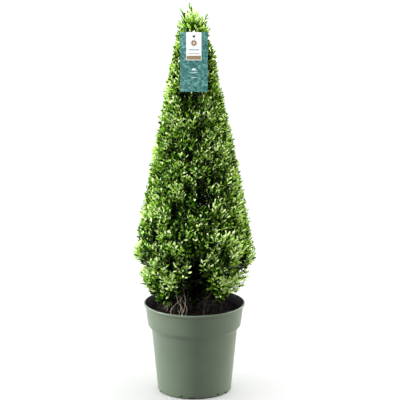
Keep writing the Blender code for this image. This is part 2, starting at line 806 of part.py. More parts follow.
def flat_label(name, size, step_out, parts, material):
    """A thin card with a punched hole at its own origin, set out in front by step_out."""
    width, height = size
    curve = bpy.data.curves.new(name, "CURVE")
    curve.dimensions = "2D"
    curve.fill_mode = "BOTH"
    curve.extrude = LABEL_THICKNESS / 2
    outline = rounded_rectangle(width, height, HOLE_BELOW_TOP - height / 2, LABEL_CORNER)
    for points in (outline, circle(HOLE_RADIUS)):
        spline = curve.splines.new("POLY")
        spline.points.add(len(points) - 1)
        for knot, (x, y) in zip(spline.points, points):
            knot.co = (x, y, 0, 1)
        spline.use_cyclic_u = True
    label = add_object(name, curve, parts, material)
    label.matrix_world = label_frame() @ Matrix.Translation((0, 0, step_out))
    return label


def tie_points():
    """A closed loop through the labels' holes, round the leader and back over their top edge."""
    frame = label_frame()
    lead = leader_centre(LABEL_HOLE.z - 4 * MM)
    front = 4 * MM
    over = HOLE_BELOW_TOP + 2.5 * MM
    side = 6 * MM
    return [
        frame @ Vector((0, 0, front)),
        frame @ Vector((0, 0, -front)),
        lead + Vector((-side, -16 * MM, 0)),
        lead + Vector((-side, -side / 2, -2 * MM)),
        lead + Vector((-side / 2, side, -2 * MM)),
        lead + Vector((side / 2, side, -1 * MM)),
        lead + Vector((side, -side / 2, 0)),
        lead + Vector((side, -16 * MM, 4 * MM)),
        frame @ Vector((1 * MM, over, -front)),
        frame @ Vector((1 * MM, over, front * 0.6)),
        frame @ Vector((0, over / 2, front * 1.4)),
    ]


def make_tie(parts, material):
    curve = bpy.data.curves.new("label_tie", "CURVE")
    curve.dimensions = "3D"
    curve.bevel_depth = TIE_RADIUS
    curve.bevel_resolution = 1
    spline = curve.splines.new("POLY")
    points = tie_points()
    spline.points.add(len(points) - 1)
    for knot, point in zip(spline.points, points):
        knot.co = (*point, 1)
    spline.use_cyclic_u = True
    return add_object("label_tie", curve, parts, material)


# ---------------------------------------------------------------- build


def main():
    clear_scene()
    parts = new_collection("potted_japanese_holly_pyramid")
    cutters = new_collection("cutters")
    pot_plastic = make_material("pot_plastic", (0.16, 0.24, 0.17), 0.42)
    compost = make_material("compost", (0.018, 0.012, 0.009), 0.95)
    bark = make_material("bark", (0.16, 0.12, 0.085), 0.85)
    foliage = make_material("foliage", (0.10, 0.22, 0.025), 0.45)
    card = make_material("label_card", (0.03, 0.20, 0.20), 0.35)
    tag = make_material("label_tag", (0.85, 0.85, 0.83), 0.35)
    tie = make_material("label_tie", (0.75, 0.75, 0.72), 0.4)
    make_pot(parts, cutters, pot_plastic)
    make_compost(parts, compost)
    make_leader(parts, bark)
    make_side_stems(parts, bark)
    make_masses(parts, foliage)
    make_tuft(parts, foliage)
    flat_label("label_card", CARD_SIZE, 0, parts, card)
    flat_label("label_tag", TAG_SIZE, LABEL_THICKNESS + CONTACT_GAP, parts, tag)
    make_tie(parts, tie)


main()
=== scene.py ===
"""The looks of a potted Japanese holly pyramid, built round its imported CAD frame.

The CAD frame has a turned pot, a block of compost, a leader, side stems, fourteen foliage masses and the
labels. Here the masses give way to boughs, twigs and small leaves, grown by the same rule: shoots stand in
rows and columns on each mass, rise outwards and end on the clipped outline. Bark, pot and labels get finer
meshes in the same places. Units are metres, +Z is up, and the labels face -Y.
"""

import json
import math

import bmesh
import bpy
import numpy as np
from mathutils import Matrix, Vector

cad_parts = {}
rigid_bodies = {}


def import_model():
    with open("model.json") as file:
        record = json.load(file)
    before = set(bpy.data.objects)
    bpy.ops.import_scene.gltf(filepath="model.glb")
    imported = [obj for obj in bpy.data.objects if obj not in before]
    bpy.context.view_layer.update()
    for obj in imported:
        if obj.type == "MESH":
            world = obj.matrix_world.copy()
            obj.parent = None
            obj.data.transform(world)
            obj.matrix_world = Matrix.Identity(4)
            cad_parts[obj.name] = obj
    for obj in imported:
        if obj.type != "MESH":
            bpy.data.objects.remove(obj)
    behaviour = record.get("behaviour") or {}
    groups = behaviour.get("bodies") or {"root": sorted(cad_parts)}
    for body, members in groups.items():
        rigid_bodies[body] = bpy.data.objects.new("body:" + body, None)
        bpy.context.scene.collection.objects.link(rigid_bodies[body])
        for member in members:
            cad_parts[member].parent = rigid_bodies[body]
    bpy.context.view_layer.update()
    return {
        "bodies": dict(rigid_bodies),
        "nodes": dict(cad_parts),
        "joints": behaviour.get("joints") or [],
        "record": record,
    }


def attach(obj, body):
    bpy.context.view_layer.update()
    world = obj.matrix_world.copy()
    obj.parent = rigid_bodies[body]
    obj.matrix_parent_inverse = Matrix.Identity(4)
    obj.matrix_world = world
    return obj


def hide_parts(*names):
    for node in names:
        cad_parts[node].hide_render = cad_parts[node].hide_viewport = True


MM = 0.001
GOLDEN = math.radians(137.508)
FULL_TURN = 2 * math.pi
ANY_ANGLE = (0, 6.28)
UP = np.array((0, 0, 1.0))
LEVEL = np.array((1, 1, 0))

# ---- sizes shared with the CAD source

POT_HEIGHT = 232 * MM
LIP_RADIUS = 130 * MM
LIP_BEAD = 3 * MM
RIM_WIDTH = 3.6 * MM
BAND_TOP_RADIUS = 125.5 * MM
BAND_FOOT_RADIUS = 119.5 * MM
BAND_FOOT_Z = 172 * MM
SHOULDER_DROP = 9 * MM
SHOULDER_STEP = 9 * MM
FOOT_RADIUS = 95.5 * MM
FOOT_ROUNDING = 5 * MM
WALL = 2.2 * MM
BASE = 3 * MM
STRAIGHT_WALL_Z = 13 * MM
NOTCHES = 6
NOTCH_WIDTH = 25 * MM
NOTCH_HEIGHT = 6 * MM
FIRST_NOTCH_DEG = 266.5
DRAIN_HOLE_RADIUS = 2.6 * MM
DRAIN_HOLE_Z = 6.5 * MM
DRAIN_HOLE_OFFSET_DEG = -17.5
SOIL_Z = 212 * MM
SOIL_FLAT_RADIUS = 96 * MM
SOIL_EDGE_DROP = 5 * MM

CROWN_FOOT_Z = 250 * MM
CROWN_FOOT_RADIUS = 110 * MM
CROWN_WIDEST_Z = 385 * MM
CROWN_WIDEST_RADIUS = 154 * MM
CROWN_SHOULDER_Z = 930 * MM
CROWN_SHOULDER_RADIUS = 47 * MM
TUFT_TOP_Z = 1003 * MM
TUFT_TOP_RADIUS = 14 * MM
SHOOT_RISE = 0.75

LEADER_TOP_Z = 910 * MM
LEADER_BASE_RADIUS = 9.5 * MM
LEADER_TIP_RADIUS = 2.2 * MM
LEADER_SWAY = 2 * MM
FLARE_HEIGHT = 14 * MM
ROOT_FLARE = 1.6
SKIRT_CORE_Z = 296 * MM
CONTACT_GAP = 0.3 * MM

LABEL_HOLE = Vector((-1, -58, 925)) * MM
LABEL_LEAN_DEG = 9
HOLE_BELOW_TOP = 10 * MM
HOLE_RADIUS = 2.5 * MM
CARD_SIZE = (68 * MM, 146 * MM)
TAG_SIZE = (37.5 * MM, 69 * MM)
LABEL_THICKNESS = 0.8 * MM
LABEL_CORNER = 2.2 * MM
TIE_RADIUS = 0.8 * MM

MASSES = [  # the CAD nodes that the crown's pieces stand for
    "skirt_front_left", "skirt_front_right", "skirt_back_right", "skirt_back_left",
    "lower_front", "lower_right", "lower_back", "lower_left",
    "middle_front", "middle_back_right", "middle_back_left",
    "upper_front", "upper_back", "tip_tuft",
]

SIDE_STEMS = {  # foot azimuth and radius, top azimuth and radius, thickness; degrees and millimetres
    "side_stem_left_outer": (191, 78, 197, 86, 3.0),
    "side_stem_left_mid": (203, 60, 212, 82, 3.4),
    "side_stem_left_upright": (215, 50, 226, 62, 4.6),
    "side_stem_front_left": (232, 46, 247, 78, 3.6),
    "side_stem_front_right": (302, 44, 296, 76, 3.4),
    "side_stem_right_front": (326, 56, 330, 72, 4.0),
    "side_stem_right": (348, 52, 350, 84, 3.2),
    "side_stem_back_right": (28, 50, 24, 80, 3.8),
    "side_stem_back": (66, 46, 64, 70, 3.4),
    "side_stem_back_left": (112, 48, 118, 78, 3.8),
    "side_stem_left_back": (150, 54, 156, 82, 3.2),
}


# ---- helpers


def mix(a, b, share):
    return a + (b - a) * share


def clamp(share):
    return min(1, max(0, share))


def polar(radius, azimuth, z):
    return np.array((radius * math.cos(azimuth), radius * math.sin(azimuth), z))


def unit(v):
    v = np.asarray(v, float)
    return v / np.maximum(np.linalg.norm(v, axis=-1, keepdims=True), 1e-12)


def turn_from(azimuth, at):
    """The angle from one azimuth to another, from minus to plus half a turn."""
    return (azimuth - at + math.pi) % FULL_TURN - math.pi


def add_object(name, data):
    made = bpy.data.objects.new(name, data)
    bpy.context.scene.collection.objects.link(made)
    return made


def mesh_of(bm, name):
    mesh = bpy.data.meshes.new(name)
    bm.to_mesh(mesh)
    bm.free()
    return mesh


def mesh_piece(name, points, faces, materials, slots=None, replaces=()):
    """A mesh object that rides on the body, from arrays of points and faces."""
    mesh = bpy.data.meshes.new(name)
    mesh.from_pydata(np.asarray(points).tolist(), [], [list(map(int, f)) for f in faces])
    return finish_piece(name, mesh, materials, replaces, slots=slots)


def triangle_piece(name, points, faces, material, replaces=(), smooth=True):
    """The same for many triangles, filled in one go."""
    points = np.asarray(points, np.float32)
    faces = np.asarray(faces, np.int32)
    mesh = bpy.data.meshes.new(name)
    mesh.vertices.add(len(points))
    mesh.vertices.foreach_set("co", points.ravel())
    mesh.loops.add(faces.size)
    mesh.loops.foreach_set("vertex_index", faces.ravel())
    mesh.polygons.add(len(faces))
    mesh.polygons.foreach_set("loop_start", np.arange(0, faces.size, 3, dtype=np.int32))
    mesh.update(calc_edges=True)
    return finish_piece(name, mesh, [material], replaces, smooth)


def finish_piece(name, mesh, materials, replaces, smooth=True, slots=None):
    for material in materials:
        mesh.materials.append(material)
    if slots is not None:
        mesh.polygons.foreach_set("material_index", np.asarray(slots, np.int32))
    mesh.polygons.foreach_set("use_smooth", np.full(len(mesh.polygons), smooth))
    mesh.update()
    piece = add_object(name, mesh)
    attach(piece, "root")
    if replaces:
        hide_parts(*replaces)
    return piece


def cap_fan(sides):
    """Faces from point 0 to the first ring of points after it."""
    return [(0, 1 + k, 1 + (k + 1) % sides) for k in range(sides)]


def ring_quads(rings, sides):
    """Faces between rings of points that follow point 0."""
    quads = []
    for n in range(rings - 1):
        for k in range(sides):
            a = 1 + n * sides + k
            b = 1 + n * sides + (k + 1) % sides
            quads.append((a, a + sides, b + sides, b))
    return quads


# ---- materials

LEAF_IOR = 1.45
# Six tones of one leaf, from pale to near-black: the new and bright tones are partly new growth and partly
# painted light, the dark and deep tones are painted shade for leaves inside the crown.
LEAF_LOOKS = (  # name, colour, light that comes through, roughness, share of that light, gloss
    ("new", (0.405, 0.512, 0.228), (0.50, 0.70, 0.09), 0.32, 0.28, 0.65),
    ("bright", (0.165, 0.300, 0.046), (0.34, 0.60, 0.030), 0.28, 0.28, 0.42),
    ("mid", (0.064, 0.158, 0.006), (0.19, 0.44, 0.012), 0.22, 0.25, 0.15),
    ("green", (0.0135, 0.058, 0.0010), (0.07, 0.20, 0.004), 0.24, 0.17, 0.06),
    ("dark", (0.0032, 0.0175, 0.0010), (0.016, 0.045, 0.003), 0.30, 0.09, 0.06),
    ("deep", (0.0006, 0.0040, 0.0004), (0.002, 0.005, 0.001), 0.60, 0.03, 0.04),
)


class Shader:
    """A small hand for building a Principled material."""

    def __init__(self, name, **values):
        self.material = bpy.data.materials.new(name)
        self.material.use_nodes = True
        self.nodes = self.material.node_tree.nodes
        self.links = self.material.node_tree.links
        self.surface = self.nodes["Principled BSDF"]
        self.place = None
        for key, value in values.items():
            socket = self.surface.inputs[key.replace("_", " ")]
            socket.default_value = (*value, 1) if isinstance(value, tuple) else value

    def node(self, kind, **inputs):
        made = self.nodes.new(kind)
        for key, value in inputs.items():
            made.inputs[key].default_value = value
        return made

    def coordinates(self, stretch):
        if self.place is None:
            self.place = self.node("ShaderNodeTexCoord")
        if stretch == (1, 1, 1):
            return self.place.outputs["Object"]
        mapping = self.node("ShaderNodeMapping", Scale=stretch)
        self.links.new(self.place.outputs["Object"], mapping.inputs["Vector"])
        return mapping.outputs["Vector"]

    def noise(self, scale, detail=3.0, roughness=0.55, stretch=(1, 1, 1)):
        made = self.node("ShaderNodeTexNoise", Scale=scale, Detail=detail, Roughness=roughness)
        self.links.new(self.coordinates(stretch), made.inputs["Vector"])
        return made.outputs["Fac"]

    def grade(self, source, *stops, socket="Base Color"):
        """Feeds a socket from a ramp of (place, colour or value) stops."""
        made = self.node("ShaderNodeValToRGB")
        ramp = made.color_ramp
        while len(ramp.elements) < len(stops):
            ramp.elements.new(0.5)
        for element, (at, colour) in zip(ramp.elements, stops):
            element.position = at
            element.color = (*colour, 1) if isinstance(colour, tuple) else (colour, colour, colour, 1)
        self.links.new(source, made.inputs["Fac"])
        self.links.new(made.outputs["Color"], self.surface.inputs[socket])

    def bump(self, height, strength, distance):
        made = self.node("ShaderNodeBump", Strength=strength, Distance=distance)
        self.links.new(height, made.inputs["Height"])
        self.links.new(made.outputs["Normal"], self.surface.inputs["Normal"])


def leaf_material(name, colour, glow, roughness, share, gloss):
    """Waxy leaf: a plain colour with gloss, and light that comes through it from behind."""
    made = Shader(name, Base_Color=colour, Roughness=roughness, IOR=LEAF_IOR, Specular_IOR_Level=gloss)
    through = made.node("ShaderNodeBsdfTranslucent", Color=(*glow, 1))
    blend = made.node("ShaderNodeMixShader", Fac=share)
    made.links.new(made.surface.outputs["BSDF"], blend.inputs[1])
    made.links.new(through.outputs["BSDF"], blend.inputs[2])
    made.links.new(blend.outputs["Shader"], made.nodes["Material Output"].inputs["Surface"])
    return made.material


def pot_material():
    """Satin green plastic with faint scuffs along the wall."""
    made = Shader("pot_satin_green", Roughness=0.36, Specular_IOR_Level=0.34)
    made.grade(made.noise(9, 2), (0.3, (0.066, 0.088, 0.058)), (0.7, (0.078, 0.102, 0.068)))
    made.grade(made.noise(60, 5, 0.7, (1, 1, 0.35)), (0.35, 0.30), (0.75, 0.44), socket="Roughness")
    made.bump(made.noise(900, 2), 0.12, 0.4 * MM)
    return made.material


def pot_inside_material():
    black = (0.003, 0.003, 0.003)
    made = Shader("pot_black_inside", Base_Color=black, Roughness=0.7, Specular_IOR_Level=0.06)
    made.bump(made.noise(500, 2), 0.2, 0.4 * MM)
    return made.material


def grained(name, grain, stops, relief=None, **values):
    """A colour from a ramp of noise, and relief from another noise with its strength and depth."""
    made = Shader(name, **values)
    made.grade(made.noise(*grain), *stops)
    if relief:
        noise, strength, distance = relief
        made.bump(made.noise(*noise), strength, distance)
    return made.material


def compost_material(name, dark, light, scale=220):
    stops, relief = ((0.35, dark), (0.72, light)), ((scale * 2.2, 5, 0.7), 0.8, 2 * MM)
    return grained(name, (scale, 6, 0.7), stops, relief, Roughness=0.95, Specular_IOR_Level=0.05)


def bark_material(name, dark, light, gloss=0.4):
    """Bark with fissures drawn out along the stem."""
    fissures, relief = (160, 6, 0.65, (1, 1, 0.25)), ((420, 5, 0.6, (1, 1, 0.3)), 0.6, 1 * MM)
    stops = (0.3, dark), (0.7, light)
    return grained(name, fissures, stops, relief, Roughness=0.75, Specular_IOR_Level=gloss)


def twig_material():
    stops = (0.35, (0.060, 0.075, 0.022)), (0.7, (0.115, 0.125, 0.040))
    return grained("green_twig", (90, 3), stops, Roughness=0.55)


def card_material():
    """Coated teal card with a soft mottle, as of leaves in a mist."""
    stops = (0.37, (0.0042, 0.025, 0.026)), (0.5, (0.015, 0.069, 0.066)), (0.64, (0.072, 0.165, 0.138))
    return grained("label_teal_print", (150, 5, 0.68), stops, ((1500, 2), 0.05, 0.2 * MM), Roughness=0.3)


def plain_material(name, colour, roughness, grain=0.0):
    """One colour, a little darker in places by the share of grain."""
    if not grain:
        return Shader(name, Base_Color=colour, Roughness=roughness).material
    stops = (0.3, tuple(c * (1 - grain) for c in colour)), (0.7, colour)
    return grained(name, (400, 3), stops, Base_Color=colour, Roughness=roughness)


# ---- crown outline and leader


def envelope_radius(z):
    """The clipped outline's radius at these heights."""
    z = np.asarray(z, float)
    low = np.clip((CROWN_WIDEST_Z - z) / (CROWN_WIDEST_Z - CROWN_FOOT_Z), 0, 1)
    foot = mix(CROWN_WIDEST_RADIUS, CROWN_FOOT_RADIUS, low**2)
    rise = (z - CROWN_WIDEST_Z) / (CROWN_SHOULDER_Z - CROWN_WIDEST_Z)
    side = mix(CROWN_WIDEST_RADIUS, CROWN_SHOULDER_RADIUS, rise)
    high = np.clip((z - CROWN_SHOULDER_Z) / (TUFT_TOP_Z - CROWN_SHOULDER_Z), 0, 1)
    tuft = mix(CROWN_SHOULDER_RADIUS, TUFT_TOP_RADIUS, high**1.5)
    return np.where(z < CROWN_WIDEST_Z, foot, np.where(z < CROWN_SHOULDER_Z, side, tuft))


def leader_centre(z):
    share = (z - SOIL_Z) / (LEADER_TOP_Z - SOIL_Z)
    sway = LEADER_SWAY * math.sin(math.pi * clamp(share)) ** 2
    return np.array((sway * math.cos(5 * share), sway * math.sin(4 * share), z))


def leader_radius(z):
    share = clamp((z - SOIL_Z) / (LEADER_TOP_Z - SOIL_Z))
    return mix(LEADER_BASE_RADIUS, LEADER_TIP_RADIUS, share**0.85)


# ---- tubes


class Tubes:
    """Collects many tapering tubes into one mesh."""

    def __init__(self):
        self.points = []
        self.faces = []
        self.count = 0

    def add(self, path, radii, sides, relief=None, caps=True):
        """A tube along the path. relief(along, around) gives shares of the radius to add."""
        path = np.asarray(path, float)
        radii = np.asarray(radii, float)
        tangents = unit(np.gradient(path, axis=0))
        reference = UP if abs(tangents[0][2]) < 0.9 else np.array((1.0, 0.0, 0.0))
        side = unit(np.cross(tangents[0], reference))
        rings = []
        angles = np.arange(sides) * (FULL_TURN / sides)
        for n, (point, tangent, radius) in enumerate(zip(path, tangents, radii)):
            side = unit(side - tangent * (side @ tangent))
            other = np.cross(tangent, side)
            swell = 1 + relief(n, angles) if relief else 1
            around = np.cos(angles)[:, None] * side + np.sin(angles)[:, None] * other
            rings.append(point + around * (radius * swell * np.ones(sides))[:, None])
        index = self.count + np.arange(len(rings) * sides).reshape(len(rings), sides)
        self.points.append(np.concatenate(rings))
        self.count += len(rings) * sides
        low, high = index[:-1], index[1:]
        quads = np.stack([low, np.roll(low, -1, 1), np.roll(high, -1, 1), high], -1).reshape(-1, 4)
        self.faces.append(np.concatenate([quads[:, [0, 1, 2]], quads[:, [0, 2, 3]]]))
        if caps:
            fan = np.array([(0, i + 1, i) for i in range(1, sides - 1)])
            self.faces.append(index[0][fan])
            self.faces.append(index[-1][fan[:, ::-1]])

    def piece(self, name, material, replaces=()):
        points, faces = np.concatenate(self.points), np.concatenate(self.faces)
        return triangle_piece(name, points, faces, material, replaces)


def curve(start, start_way, end, end_way, steps, pull=0.4):
    """A smooth path that leaves one point in a direction and arrives at another in a direction."""
    reach = np.linalg.norm(np.asarray(end) - start)
    a, b = np.asarray(start), np.asarray(start) + unit(start_way) * reach * pull
    c, d = np.asarray(end) - unit(end_way) * reach * pull, np.asarray(end)
    t = np.linspace(0, 1, steps)[:, None]
    return (1 - t) ** 3 * a + 3 * (1 - t) ** 2 * t * b + 3 * (1 - t) * t**2 * c + t**3 * d


# ---- leaves

# Across (share of half width), along (share of length), lift (share of length): midrib, then the edge.
LEAF_OUTLINE = np.array(
    [
        (0, 0.00, 0.00), (0, 0.52, 0.03), (0, 1.00, -0.09),
        (0.46, 0.24, -0.02), (1.00, 0.58, -0.055), (0.80, 0.87, -0.075),
        (-0.46, 0.24, -0.02), (-1.00, 0.58, -0.055), (-0.80, 0.87, -0.075),
    ]
)
LEAF_FACES = np.array(
    [(0, 3, 1), (3, 4, 1), (4, 5, 1), (5, 2, 1), (0, 1, 6), (6, 1, 7), (7, 1, 8), (8, 1, 2)]
)


class Leaves:
    """Collects leaves, and makes one mesh for each tone."""

    def __init__(self):
        self.rows = []

    def add(self, origin, way, face, length, width, tone):
        self.rows.append((origin, way, face, length, width, tone))

    def pieces(self, replaces):
        origin, way, face, length, width, tone = map(np.concatenate, zip(*self.rows))
        way = unit(way)
        face = unit(face - way * np.sum(face * way, 1, keepdims=True))
        side = np.cross(way, face)[:, None]
        x, y, z = (LEAF_OUTLINE[:, k][None, :, None] for k in range(3))
        half = (width / 2)[:, None, None]
        long = length[:, None, None]
        corners = origin[:, None] + x * half * side + y * long * way[:, None] + z * long * face[:, None]
        for number, (name, *look) in enumerate(LEAF_LOOKS):
            chosen = corners[tone == number]
            faces = LEAF_FACES[None] + (np.arange(len(chosen)) * len(LEAF_OUTLINE))[:, None, None]
            material = leaf_material("leaf_" + name, *look)
            points = chosen.reshape(-1, 3)
            triangle_piece("leaves_" + name, points, faces.reshape(-1, 3), material, replaces)


# ---- crown

LOWEST_GROWTH_Z = 0.232
BOUGH_Z = (0.262, 0.90)
BOUGH_STEP = 0.0062
TWIG_WIDTH = (0.85, 0.45)  # millimetres, at the base and at the tip of a shoot
BOUGH_WIDTH = (2.6, 1.4)  # these pairs are for the foot and for the top of the crown, in millimetres
SPRAY_LEAF = (17.0, 12.4)
SPRAY_STALK = (58, 38)
INNER_LEAF = (17, 13.5)
SPRAY_PITCH = (28 * MM, 18 * MM)
SPRAY_SHOOTS = 4
LEAST_SPRAY_RADIUS = 18 * MM
STRAY_SHARE = 0.10  # of a spray's shoots that grow past the clipped outline, and how far in millimetres
STRAY_PAST = (2, 8)
SHOOT_SPACING = 4.6 * MM
LEAST_SHOOT = 14 * MM
# Share of leaves made two tones paler at random: new growth and painted highlights.
NEW_GROWTH_AND_GLINT_SHARE = 0.11
# How many tones darker a shoot's base leaves are than its tip leaves: partly older leaves, partly painted
# shade.
SHADE_AND_AGE_ALONG_SHOOT = 5.6
TUFT_LEAF = 20 * MM
# The inner layers' tones are painted shade, darker the deeper the layer lies.
INNER_LAYERS = (  # pitch and depth in millimetres, tone, greatest height
    (20, 26, 4.7, 1.0),
    (24, 48, 5.2, 1.0),
    (22, 78, 5.6, 0.46),
    (17, 62, 5.6, 0.36),
)
CORE_Z = (LOWEST_GROWTH_Z, 0.43)
CORE_STEP = 0.0032
STEM_SECTOR = 0.36  # radians of azimuth whose branches share a foot in the soil

# Places where the crown falls in: azimuth, height, then half width, half height and depth in mm (it
# swells where the depth is negative).
HOLLOWS = (
    (276, 0.284, 28, 46, 66), (281, 0.525, 17, 38, 32), (268, 0.415, 10, 22, 22), (262, 0.620, 10, 22, 20),
    (236, 0.640, 14, 20, 18), (291, 0.455, 13, 24, 26), (247, 0.480, 12, 26, 24), (303, 0.372, 14, 24, 26),
    (243, 0.350, 15, 20, 26), (272, 0.760, 9, 26, 14), (184, 0.328, 85, 11, 48), (356, 0.316, 80, 9, 40),
    (352, 0.282, 75, 13, 28), (355, 0.910, 44, 25, 14), (358, 0.800, 90, 110, 5), (0, 0.346, 70, 16, -15),
    (180, 0.352, 70, 14, -6), (30, 0.500, 18, 26, 24), (100, 0.400, 20, 26, 26), (150, 0.600, 16, 22, 20),
    (80, 0.720, 12, 20, 16), (232, 0.300, 12, 13, 28), (214, 0.336, 12, 12, 26), (312, 0.326, 14, 14, 34),
    (333, 0.300, 14, 15, 34), (262, 0.545, 11, 20, 24), (284, 0.690, 10, 22, 20), (252, 0.760, 9, 18, 16),
    (296, 0.575, 11, 18, 20), (222, 0.430, 12, 20, 22), (320, 0.440, 12, 20, 22), (62, 0.330, 24, 22, 34),
    (112, 0.300, 26, 20, 36), (140, 0.372, 16, 20, 28), (172, 0.462, 14, 24, 24), (12, 0.405, 13, 22, 24),
    (78, 0.480, 14, 26, 26), (124, 0.525, 13, 24, 24), (52, 0.600, 12, 24, 22), (98, 0.625, 11, 20, 20),
    (160, 0.700, 11, 20, 18), (38, 0.760, 10, 20, 16),
)

FREE_SPRAYS = (  # azimuth, height and tone of sprays that reach across the hollows of the foot
    (258, 0.351, 1.0), (285, 0.364, 1.1), (294, 0.324, 0.9), (304, 0.294, 1.0), (321, 0.290, 0.6),
    (230, 0.343, 1.2), (207, 0.300, 0.8), (190, 0.294, 0.9), (177, 0.290, 1.2), (239, 0.310, 1.0),
    (250, 0.398, 1.3), (266, 0.432, 1.2), (289, 0.424, 1.3), (276, 0.470, 1.4), (334, 0.296, 1.1),
    (352, 0.350, 0.9), (3, 0.343, 1.0), (178, 0.358, 0.8), (189, 0.362, 0.9), (18, 0.296, 3.4),
    (50, 0.318, 1.2), (75, 0.298, 1.2), (104, 0.338, 1.1), (122, 0.292, 1.4), (150, 0.300, 1.2),
)

FOOT_OF_LEAVES = (  # azimuth in degrees, and the height at which the leaves begin there
    (0, 0.285), (25, 0.268), (45, 0.290), (62, 0.276), (80, 0.262), (100, 0.266), (116, 0.298), (138, 0.280),
    (165, 0.262), (186, 0.256), (205, 0.256), (222, 0.268), (244, 0.290), (257, 0.318), (264, 0.385),
    (283, 0.392), (290, 0.330), (297, 0.290), (308, 0.262), (322, 0.252), (336, 0.266), (346, 0.306),
    (360, 0.285),
)

TUFT_TIPS = (  # where the head's shoots end in millimetres, and their tone
    (-11, -3, 1000, 3.0), (-31, -8, 984, 3.1), (33, -6, 974, 3.0), (-22, -10, 978, 0.9), (-14, -14, 984, 0.6),
    (-5, -8, 986, 0.6), (4, -12, 982, 0.7), (11, -4, 978, 0.8), (-9, 10, 980, 0.8), (6, 12, 976, 1.0),
    (-18, -22, 968, 0.8), (-8, -26, 970, 0.5), (0, -22, 974, 0.6), (9, -24, 966, 0.7), (17, -16, 966, 0.9),
    (22, -6, 962, 1.1), (-30, -12, 964, 1.3), (-36, -4, 956, 1.5), (-26, 12, 964, 1.1), (-16, 24, 962, 1.2),
    (2, 26, 962, 1.2), (16, 18, 962, 1.2), (27, -14, 956, 1.4), (30, 2, 950, 1.5), (25, 16, 950, 1.5),
    (-40, -12, 944, 1.7), (-38, 14, 944, 1.6), (-27, -28, 950, 1.3), (-12, -34, 948, 1.0), (4, -34, 946, 1.1),
    (18, -30, 944, 1.3), (-24, 32, 944, 1.6), (6, 36, 942, 1.6), (24, 28, 938, 1.7), (33, -20, 936, 1.7),
    (-3, 0, 966, 1.2), (-16, 4, 960, 1.8), (12, 4, 956, 1.8), (-2, -18, 980, 0.6), (-13, -22, 975, 0.6),
    (9, -16, 975, 0.7), (-22, -16, 971, 0.8), (15, -24, 958, 0.9), (-33, -20, 950, 1.2), (26, -24, 944, 1.3),
)


def hollow_depth(azimuth, z):
    """How far the surface falls in (or, where negative, swells) at these places of the outline."""
    depth = np.zeros_like(z)
    swell = np.zeros_like(z)
    for at, height, wide, high, deep in HOLLOWS:
        across = turn_from(azimuth, math.radians(at)) * envelope_radius(z) / (wide * MM)
        here = deep * MM * np.exp(-(across**2 + ((z - height) / (high * MM)) ** 2))
        depth = np.maximum(depth, here)
        swell = np.minimum(swell, here)
    return depth + swell


def hollow_at(azimuth, z):
    return float(hollow_depth(np.array(azimuth), np.array(z)))


def bare_foot(azimuth, z, inwards=0.0):
    """True where the crown's foot has no leaves, so that the stems show."""
    return z < np.interp(math.degrees(azimuth) % 360, *zip(*FOOT_OF_LEAVES)) - inwards


def height_share(z):
    """0 in the coarse lower crown, 1 in the fine upper crown."""
    return clamp((z - 0.30) / 0.42)


def skirt_share(z):
    """0 where the crown is widest, 1 at its foot."""
    return clamp((CROWN_WIDEST_Z - z) / (CROWN_WIDEST_Z - CROWN_FOOT_Z))


def bell(distance, width):
    return math.exp(-((distance / width) ** 2))


def painted_light_and_tone_patches(azimuth, z):
    """Broad random patches of tone, with painted shade in the middle of the front, on the lower front-left
    and on the head, and painted light on the flanks, the lower front-right and the rest of the lower crown.
    """
    turn = turn_from(azimuth, 1.5 * math.pi)
    front = bell(turn, 0.5) * clamp((z - 0.30) / 0.06)
    low = clamp((0.52 - z) / 0.1)
    head = clamp((z - 0.74) / 0.1)
    right = bell(turn - 0.95, 0.5) * low
    left = bell(turn + 0.8, 0.45) * low
    flank = bell(abs(turn) - 1.45, 0.35) * (1 - low)
    patches = 0.35 * math.sin(5 * azimuth + 23 * z) + 0.35 * math.sin(3 * azimuth - 41 * z + 1.3)
    upper = patches - 0.35 * flank + mix(0.8, 0.85, height_share(z)) * front
    return upper - 0.15 * (1 - front) * low - 0.75 * right + 0.5 * left + 0.3 * head


def length_to_outline(start, aim, margin, most, free, bend=0.3, steps=24):
    """How long a shoot grows from here before it is clipped at the outline."""
    way = unit(unit(aim) + bend * UP)
    lengths = np.linspace(0, most, steps)
    points = start + lengths[:, None] * way
    fallen = 0 if free else hollow_depth(np.arctan2(points[:, 1], points[:, 0]), points[:, 2])
    outside = np.hypot(points[:, 0], points[:, 1]) > envelope_radius(points[:, 2]) + margin - fallen
    return float(lengths[np.argmax(outside)]) if outside.any() else most


